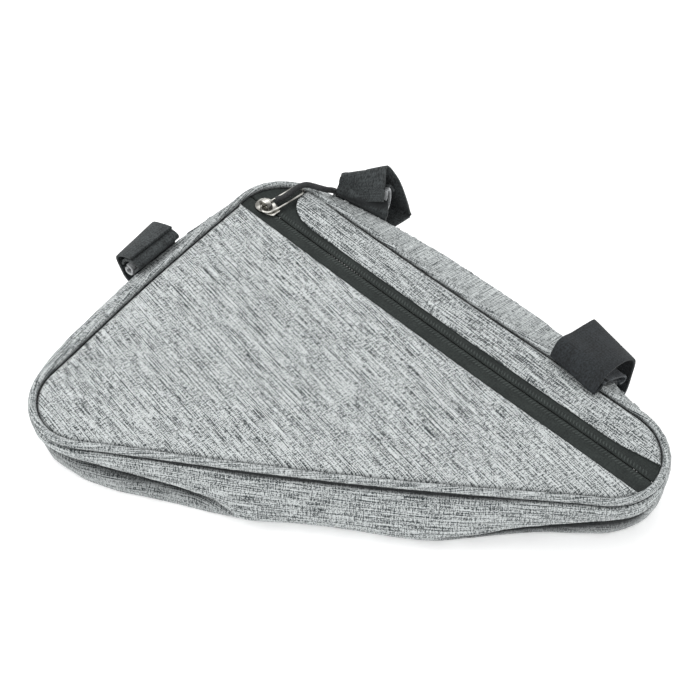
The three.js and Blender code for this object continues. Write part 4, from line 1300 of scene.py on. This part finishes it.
def strap_place(side, distance, row, end):
    """Where the row of a path has its near end (0) or its far end (1)."""

    def pick(name):
        value = row.get(name, 0.0)
        return value[end] if isinstance(value, tuple) else value

    lap = edge_lap(side, distance + pick("slide") * strap_width)
    if "climb" in row:
        away = strap_wall / 2 + gap + pick("clear")
        return gusset_row(lap, [pick("climb")], lambda *_: away)[0]
    if "over" in row:
        plan = beside_line(lap, pick("over") * strap_reach)
        height = piping_height(lap) + cord_radius + gap + strap_wall / 2 + pick("clear")
        return Vector((plan.x, plan.y, height))
    plan = beside_line(lap, pick("out") * strap_reach)
    return Vector((plan.x, plan.y, pick("up") * depth))


# %% Paths of the straps, nearer the top corner first where there are two values
def out(near, far, up_near, up_far, slide_far=0.0):
    """Free in the air: out in strap reaches, up in depths, and the far end slid by a share of the width."""
    return {"out": (near, far), "up": (up_near, up_far), "slide": (0.0, slide_far)}


def wall_row(climb, clear):
    """Flat on the gusset's wall, clear of it by so many millimetres."""
    return {"climb": climb, "clear": clear}


def over_row(near, far, clear):
    """Over the front edge, outwards from the piping's middle."""
    return {"over": (near, far), "clear": clear}


short_strap = [
    out(0.35, 0.38, 1.095, 1.11), out(0.54, 0.56, 1.045, 1.07), out(0.79, 0.71, 0.93, 0.95),
    out(0.72, 0.64, 0.74, 0.74), out(0.58, 0.55, 0.55, 0.60), wall_row(0.32, 0.8), wall_row(0.42, 0.8),
    wall_row(0.50, 1.0), out(0.22, 0.24, 1.00, 1.00), out(0.38, 0.36, 1.04, 1.05),
    out(0.58, 0.55, 0.96, 0.98), out(0.66, 0.60, 0.86, 0.87),
]
short_hook = [
    out(0.52, 0.50, 0.91, 0.92), out(0.42, 0.40, 0.86, 0.87), out(0.44, 0.43, 0.76, 0.76),
    out(0.53, 0.51, 0.75, 0.76), out(0.55, 0.52, 0.82, 0.84), out(0.50, 0.48, 0.84, 0.85),
]
long_strap_a = [
    out(0.33, 0.45, 0.73, 1.18, -0.05), out(0.33, 0.64, 1.08, 1.33, -0.20),
    out(0.36, 0.88, 1.24, 1.45, -0.38), out(0.54, 0.95, 1.17, 1.27, -0.20),
    out(0.76, 0.96, 0.92, 0.92, 0.02), out(0.83, 0.985, 0.68, 0.69, 0.08),
    out(0.835, 0.995, 0.635, 0.635, 0.10), out(0.80, 0.95, 0.61, 0.64, 0.10),
    out(0.62, 0.74, 0.54, 0.64, 0.08), wall_row(0.36, 0.8), wall_row(0.44, 0.8), wall_row(0.50, 1.0),
    out(0.28, 0.47, 0.98, 0.98, 0.05), out(0.34, 0.62, 1.09, 1.11, -0.10),
    out(0.45, 0.77, 1.12, 1.22, -0.20), out(0.57, 0.82, 1.04, 1.12, -0.15),
]
long_hook_a = [
    out(0.44, 0.57, 0.84, 0.82, -0.10), out(0.42, 0.59, 0.92, 0.99, -0.10),
    out(0.40, 0.60, 1.00, 1.19, -0.10), out(0.43, 0.62, 1.08, 1.31, -0.10),
    out(0.49, 0.665, 1.05, 1.27, -0.10), out(0.51, 0.685, 0.99, 1.14, -0.10),
    out(0.50, 0.665, 0.92, 0.99, -0.10), out(0.47, 0.61, 0.86, 0.86, -0.10),
]
long_strap_b = [
    out(0.64, 0.58, 0.30, 0.27), out(0.76, 0.69, 0.34, 0.31), out(0.94, 0.77, 0.64, 0.60),
    out(0.99, 0.79, 0.97, 0.93), out(0.72, 0.55, 1.08, 1.13), out(0.38, 0.26, 1.17, 1.22),
    out(0.04, 0.0, 1.27, 1.22), over_row(-0.11, -0.25, 1.6), over_row(-0.02, -0.14, 0.0),
    over_row(0.12, 0.08, 0.0), wall_row(0.66, 1.0), wall_row(0.50, 0.9), wall_row(0.42, 0.6),
    wall_row(0.34, 0.5),
]
long_hook_b = [
    over_row(-0.02, -0.02, 1.6), out(0.16, 0.19, 1.07, 0.99), out(0.38, 0.38, 0.98, 0.89),
    out(0.60, 0.57, 0.82, 0.77), out(0.66, 0.63, 0.74, 0.69), out(0.63, 0.60, 0.68, 0.64),
    out(0.50, 0.48, 0.72, 0.68),
]
print("rows in the three straps:", len(short_strap), len(long_strap_a), len(long_strap_b))


# %% A stiff band along a path
steps_a_row, band_columns = 7, 12


def lap_shade(steps, lap_at):
    """Painted shade in a line across the band, at the rows of the path that lap_at gives for its two sides.
    """
    shade, (near, far) = [], lap_at
    for k in range(steps + 1):
        for c in range(band_columns + 1):
            away = k / steps_a_row - near - (far - near) * c / band_columns
            shade.append(0.96 * math.exp(-((away / 0.3) ** 4)))
    return shade


def band(name, side, middle, path, thickness, material, seed, lap_at=None):
    """A skin half a wall above the ruled surface, thickened down through it."""
    curves = []
    for end in (0, 1):
        distance = middle + (end - 0.5) * strap_width
        curves.append(SmoothPath([strap_place(side, distance, row, end) for row in path]))
    steps = (len(path) - 1) * steps_a_row
    grid, normals = [], []
    for k in range(steps + 1):
        share = k / steps
        near, far = curves[0].at(share), curves[1].at(share)
        later, sooner = min(share + 1e-3, 1), max(share - 1e-3, 0)
        ahead = curves[0].at(later) - curves[0].at(sooner) + curves[1].at(later) - curves[1].at(sooner)
        normal = ahead.cross(far - near).normalized()
        row = []
        for c in range(band_columns + 1):
            wave = 0.12 * rough(share * steps / 6, c / 4, 0, seed)
            edge_dip = -0.1 * (abs(2 * c / band_columns - 1) ** 10)
            row.append(near.lerp(far, c / band_columns) + normal * (thickness / 2 + wave + edge_dip))
        grid.append(row)
        normals.append(normal)
    middles = numpy.array([tuple(row[band_columns // 2]) for row in grid])

    def side_up(centre):
        local = numpy.array((centre.x - shift.x, centre.y - shift.y, centre.z))
        return normals[int(((middles - local) ** 2).sum(axis=1).argmin())]

    shade = lap_shade(steps, lap_at) if lap_at else None
    return thicken(grid_piece(name, grid, side_up, material, shade=shade), thickness, 0.35)


# %% Make the straps and hook tapes
short_middle, long_a_middle, long_b_middle = 107, 63, 257
# The second strap gets a line of painted shade on its inner layer, under the free end of the outer layer.
for name, side, middle, path, cloth, seed, node, lap_at in (
    ("webbing_short", SHORT, short_middle, short_strap, webbing, 61, "strap_short", None),
    ("webbing_long_a", LONG, long_a_middle, long_strap_a, webbing, 62, "strap_long_a", (11.5, 12.72)),
    ("webbing_long_b", LONG, long_b_middle, long_strap_b, webbing_in_shade, 63, "strap_long_b", None),
):
    dress(band(name, side, middle, path, strap_wall, cloth, seed, lap_at), "strap_webbing", node)
for name, side, middle, path, cloth, seed, node in (
    ("hook_tape_short", SHORT, short_middle, short_hook, hook_cloth, 64, "hook_short"),
    ("hook_tape_a", LONG, long_a_middle, long_hook_a, hook_cloth, 65, "hook_long_a"),
    ("hook_tape_b", LONG, long_b_middle, long_hook_b, hook_tape_in_shade, 66, "hook_long_b"),
):
    dress(band(name, side, middle, path, hook_skin, cloth, seed), "hook_tape", node)

# %% [markdown]
# ## The slider
# The slider is one small casting: a plate with a round nose, and a bridge over it for the wire. Both
# are outlines pushed to a thickness, then rounded by a Bevel modifier, so their edges catch the light.


# %% Outlines pushed to a thickness
def slab(outline, low, high, place):
    """Side walls and two caps for an outline of (x, y), moved by place(x, y, z)."""
    count = len(outline)
    points = [place(x, y, z) for z in (low, high) for x, y in outline]
    faces = [list(range(count))[::-1], [count + k for k in range(count)]]
    faces += [[k, (k + 1) % count, count + (k + 1) % count, count + k] for k in range(count)]
    return points, faces


def arc_points(start, control, end, steps=6):
    """A quadratic arc from the start towards the control point and on to the end, without the end."""
    start, control, end = Vector(start), Vector(control), Vector(end)
    shares = [k / steps for k in range(steps)]
    return [tuple(start.lerp(control, share).lerp(control.lerp(end, share), share)) for share in shares]


half, nose, tail = slider_width / 2, -slider_length / 2, slider_length / 2
shoulder, tail_side = nose + slider_length * 0.6, tail - 1.5
plate_outline = arc_points((nose, 0), (nose, half), (nose + half, half))
plate_outline += arc_points((nose + half, half), (shoulder, half), (tail_side, half * 0.66))
plate_outline += [(tail_side, half * 0.66), (tail, half * 0.5), (tail, -half * 0.5)]
plate_outline += arc_points((tail_side, -half * 0.66), (shoulder, -half), (nose + half, -half))
plate_outline += arc_points((nose + half, -half), (nose, -half), (nose, 0))
reach, rise, foot_level, bridge_thick = 4.75, 4.6, -0.2, 1.3
inner_reach, inner_rise = reach - bridge_thick, rise - bridge_thick
bridge_outline = arc_points((-reach, foot_level), (-reach, rise), (0, rise))
bridge_outline += arc_points((0, rise), (reach, rise), (reach, foot_level)) + [(reach, foot_level)]
bridge_outline += arc_points((inner_reach, foot_level), (inner_reach, inner_rise), (0, inner_rise))
bridge_outline += arc_points((0, inner_rise), (-inner_reach, inner_rise), (-inner_reach, foot_level))
bridge_outline += [(-inner_reach, foot_level)]
print("corners of the plate and the bridge:", len(plate_outline), len(bridge_outline))

# %% Make the slider
slider_base = zip_place(slider_distance, groove(slider_distance))
tape_level = front_height(slider_base) - wall - gap
turn = Matrix.Rotation(math.atan2(zip_along.y, zip_along.x), 3, "Z")


def on_slider(x, y, z):
    placed = turn @ Vector((x, y, z))
    return Vector((slider_base.x + placed.x, slider_base.y + placed.y, tape_level + gap + placed.z))


def on_bridge(x, y, z):
    return on_slider(x - slider_length * 0.08, z, slider_plate + y)


plate_points, plate_faces = slab(plate_outline, 0, slider_plate, on_slider)
bridge_points, bridge_faces = slab(bridge_outline, -1.8, 1.8, on_bridge)
slider_points = plate_points + bridge_points
slider_faces = plate_faces + [[len(plate_points) + k for k in face] for face in bridge_faces]
slider = finish_mesh("slider_body", slider_points, slider_faces, None, straight_up, slider_metal)
repair = bmesh.new()
repair.from_mesh(slider.data)
bmesh.ops.recalc_face_normals(repair, faces=repair.faces)
repair.to_mesh(slider.data)
repair.free()
slider.data.shade_flat()
rounding = slider.modifiers.new("soft edge", "BEVEL")
rounding.width, rounding.segments, rounding.angle_limit = 0.0004, 3, math.radians(40)
dress(slider, "slider_metal", "zip_slider")

# %% [markdown]
# ## The wire pull
# The pull is a long loop of round wire that passes under the slider's bridge and lies over the tape.
# Its line is two straight runs and two half circles, and a tube of twelve sides follows it.

# %% Make the wire pull
wire_radius, loop_start, loop_end, loop_width, loop_shift = 0.75, -5.5, 26.0, 8.3, -2.0
loop_turn, loop_rise = math.radians(42.6), 2.4
wire_level = tape_level + gap + slider_plate + wire_radius + gap
loop_along = Vector((math.cos(loop_turn), math.sin(loop_turn)))
loop_across = Vector((-loop_along.y, loop_along.x))


def loop_place(travel, offset):
    plan = slider_base + loop_along * travel + loop_across * (offset + loop_shift)
    return Vector((plan.x, plan.y, wire_level + loop_rise * smooth(travel, loop_width / 2, loop_end)))


bend = loop_width / 2
near_end, far_end = loop_start + bend, loop_end - bend


def half_circle(middle, start):
    angles = [start + math.pi * k / 12 for k in range(13)]
    return [loop_place(middle + bend * math.cos(angle), bend * math.sin(angle)) for angle in angles]


def straight_run(offset, tenths):
    return [loop_place(near_end + (far_end - near_end) * k / 10, offset) for k in tenths]


wire_line = half_circle(near_end, math.pi / 2) + straight_run(-bend, range(1, 10))
wire_line += half_circle(far_end, -math.pi / 2) + straight_run(bend, range(9, 0, -1))
wire_rows = tube_rows(wire_line, wire_radius, 12, True)
wire = grid_piece("wire_pull", wire_rows, tube_outward(wire_line), slider_metal, True, True)
dress(wire, "slider_metal", "zip_pull")

# %% [markdown]
# ## The pull cord
# A short, limp black cord hangs from the wire's far end, lies over the piping and drops behind the bag.
# It ends in an overhand knot. The cord is a tube along its route with a braided finish, and the knot is
# the same tube along a trefoil, the curve that a simple knot follows.

# %% The cord's route: distance and inset on the zip's ruler, then height
cord_route = [
    (23.6, 24.6, 47.6), (25.6, 20.6, 47.9), (27.2, 16.4, 49.0), (28.5, 12.0, 51.3), (29.8, 8.0, 52.2),
    (31.8, 4.2, 52.2), (34.9, 0.8, 50.6), (38.2, -2.2, 48.9), (40.6, -5.6, 46.6), (41.6, -9.8, 43.8),
    (41.2, -13.6, 39.2), (40.4, -14.6, 32.5),
]
cord_stops = []
for distance, inset, height in cord_route:
    plan = zip_place(distance, inset)
    cord_stops.append(Vector((plan.x, plan.y, height)))
cord_curve = SmoothPath(cord_stops)
cord_centres = [cord_curve.at(k / 90) for k in range(91)]
pull_radius, pull_sides, tip_share = 2.0, 14, 0.35
cord_rows = tube_rows(cord_centres, pull_radius, pull_sides, False)
cord_rows = [[cord_centres[0].lerp(point, tip_share) for point in cord_rows[0]]] + cord_rows
cord = grid_piece("pull_cord_braid", cord_rows, tube_outward(cord_centres), cord_cloth, closed_columns=True)
dress(cord, "cord", "pull_cord")

# %% The knot
knot_drop, knot_points, knot_size = 2.2, 72, 0.95
knot_middle = cord_centres[-1] - Vector((zip_inward.x, zip_inward.y, 1)) * knot_drop
knot_line = []
for k in range(knot_points):
    angle = 2 * math.pi * k / knot_points
    x = math.sin(angle) + 2 * math.sin(2 * angle)
    y = math.cos(angle) - 2 * math.cos(2 * angle)
    z = -math.sin(3 * angle)
    knot_line.append(knot_middle + Vector((x, z * 1.2, y)) * knot_size)
knot_rows = tube_rows(knot_line, 1.7, 10, True)
knot = grid_piece("pull_cord_knot", knot_rows, tube_outward(knot_line), cord_cloth, True, True)
dress(knot, "cord")
cord_length = sum((b - a).length for a, b in zip(cord_centres, cord_centres[1:]))
exit_point = metres(cord_centres[0])
[metres(point) for point in cord_centres]
print("cord length in mm:", round(cord_length, 1))

# %% [markdown]
# ## Studio
# The photograph has a white ground and a soft light from above, so broad that the shadows nearly
# vanish. A pale floor, a bright even world, one large soft light from behind and above and a smaller
# one from the left give the same pale panel and a darker gusset towards the viewer.

# %% Floor, light and colour
floor_corners, floor_level = [(-4, -4), (4, -4), (4, 4), (-4, 4)], -0.0002
floor_mesh = bpy.data.meshes.new("floor")
floor_mesh.from_pydata([(x, y, floor_level) for x, y in floor_corners], [], [(0, 1, 2, 3)])
floor = bpy.data.objects.new("floor", floor_mesh)
bpy.context.scene.collection.objects.link(floor)
paper_looks = {"Base_Color": (0.93, 0.93, 0.93, 1), "Roughness": 0.9}
glow = {"Emission_Color": (1, 1, 1, 1), "Emission_Strength": 0.3}
floor_mesh.materials.append(new_finish("floor_paper", **paper_looks, **glow)[0])


def soft_light(name, place, aim_at, size, power):
    data = bpy.data.lights.new(name, "AREA")
    data.shape, data.size, data.energy = "SQUARE", size, power
    light = bpy.data.objects.new(name, data)
    light.location = place
    light.rotation_euler = (Vector(aim_at) - Vector(place)).to_track_quat("-Z", "Y").to_euler()
    bpy.context.scene.collection.objects.link(light)


soft_light("overhead", (-0.35, 0.75, 1.9), (0, 0, 0), 1.7, 12)
soft_light("from_left", (-1.6, -0.5, 1.2), (0, 0, 0), 0.9, 8)
world = bpy.data.worlds.new("studio")
world.use_nodes = True
sky = world.node_tree.nodes["Background"]
sky.inputs["Color"].default_value = (1, 1, 1, 1)
sky.inputs["Strength"].default_value = 0.97
bpy.context.scene.world = world
bpy.context.scene.view_settings.view_transform = "Standard"
print("lights:", [light.name for light in bpy.data.lights])
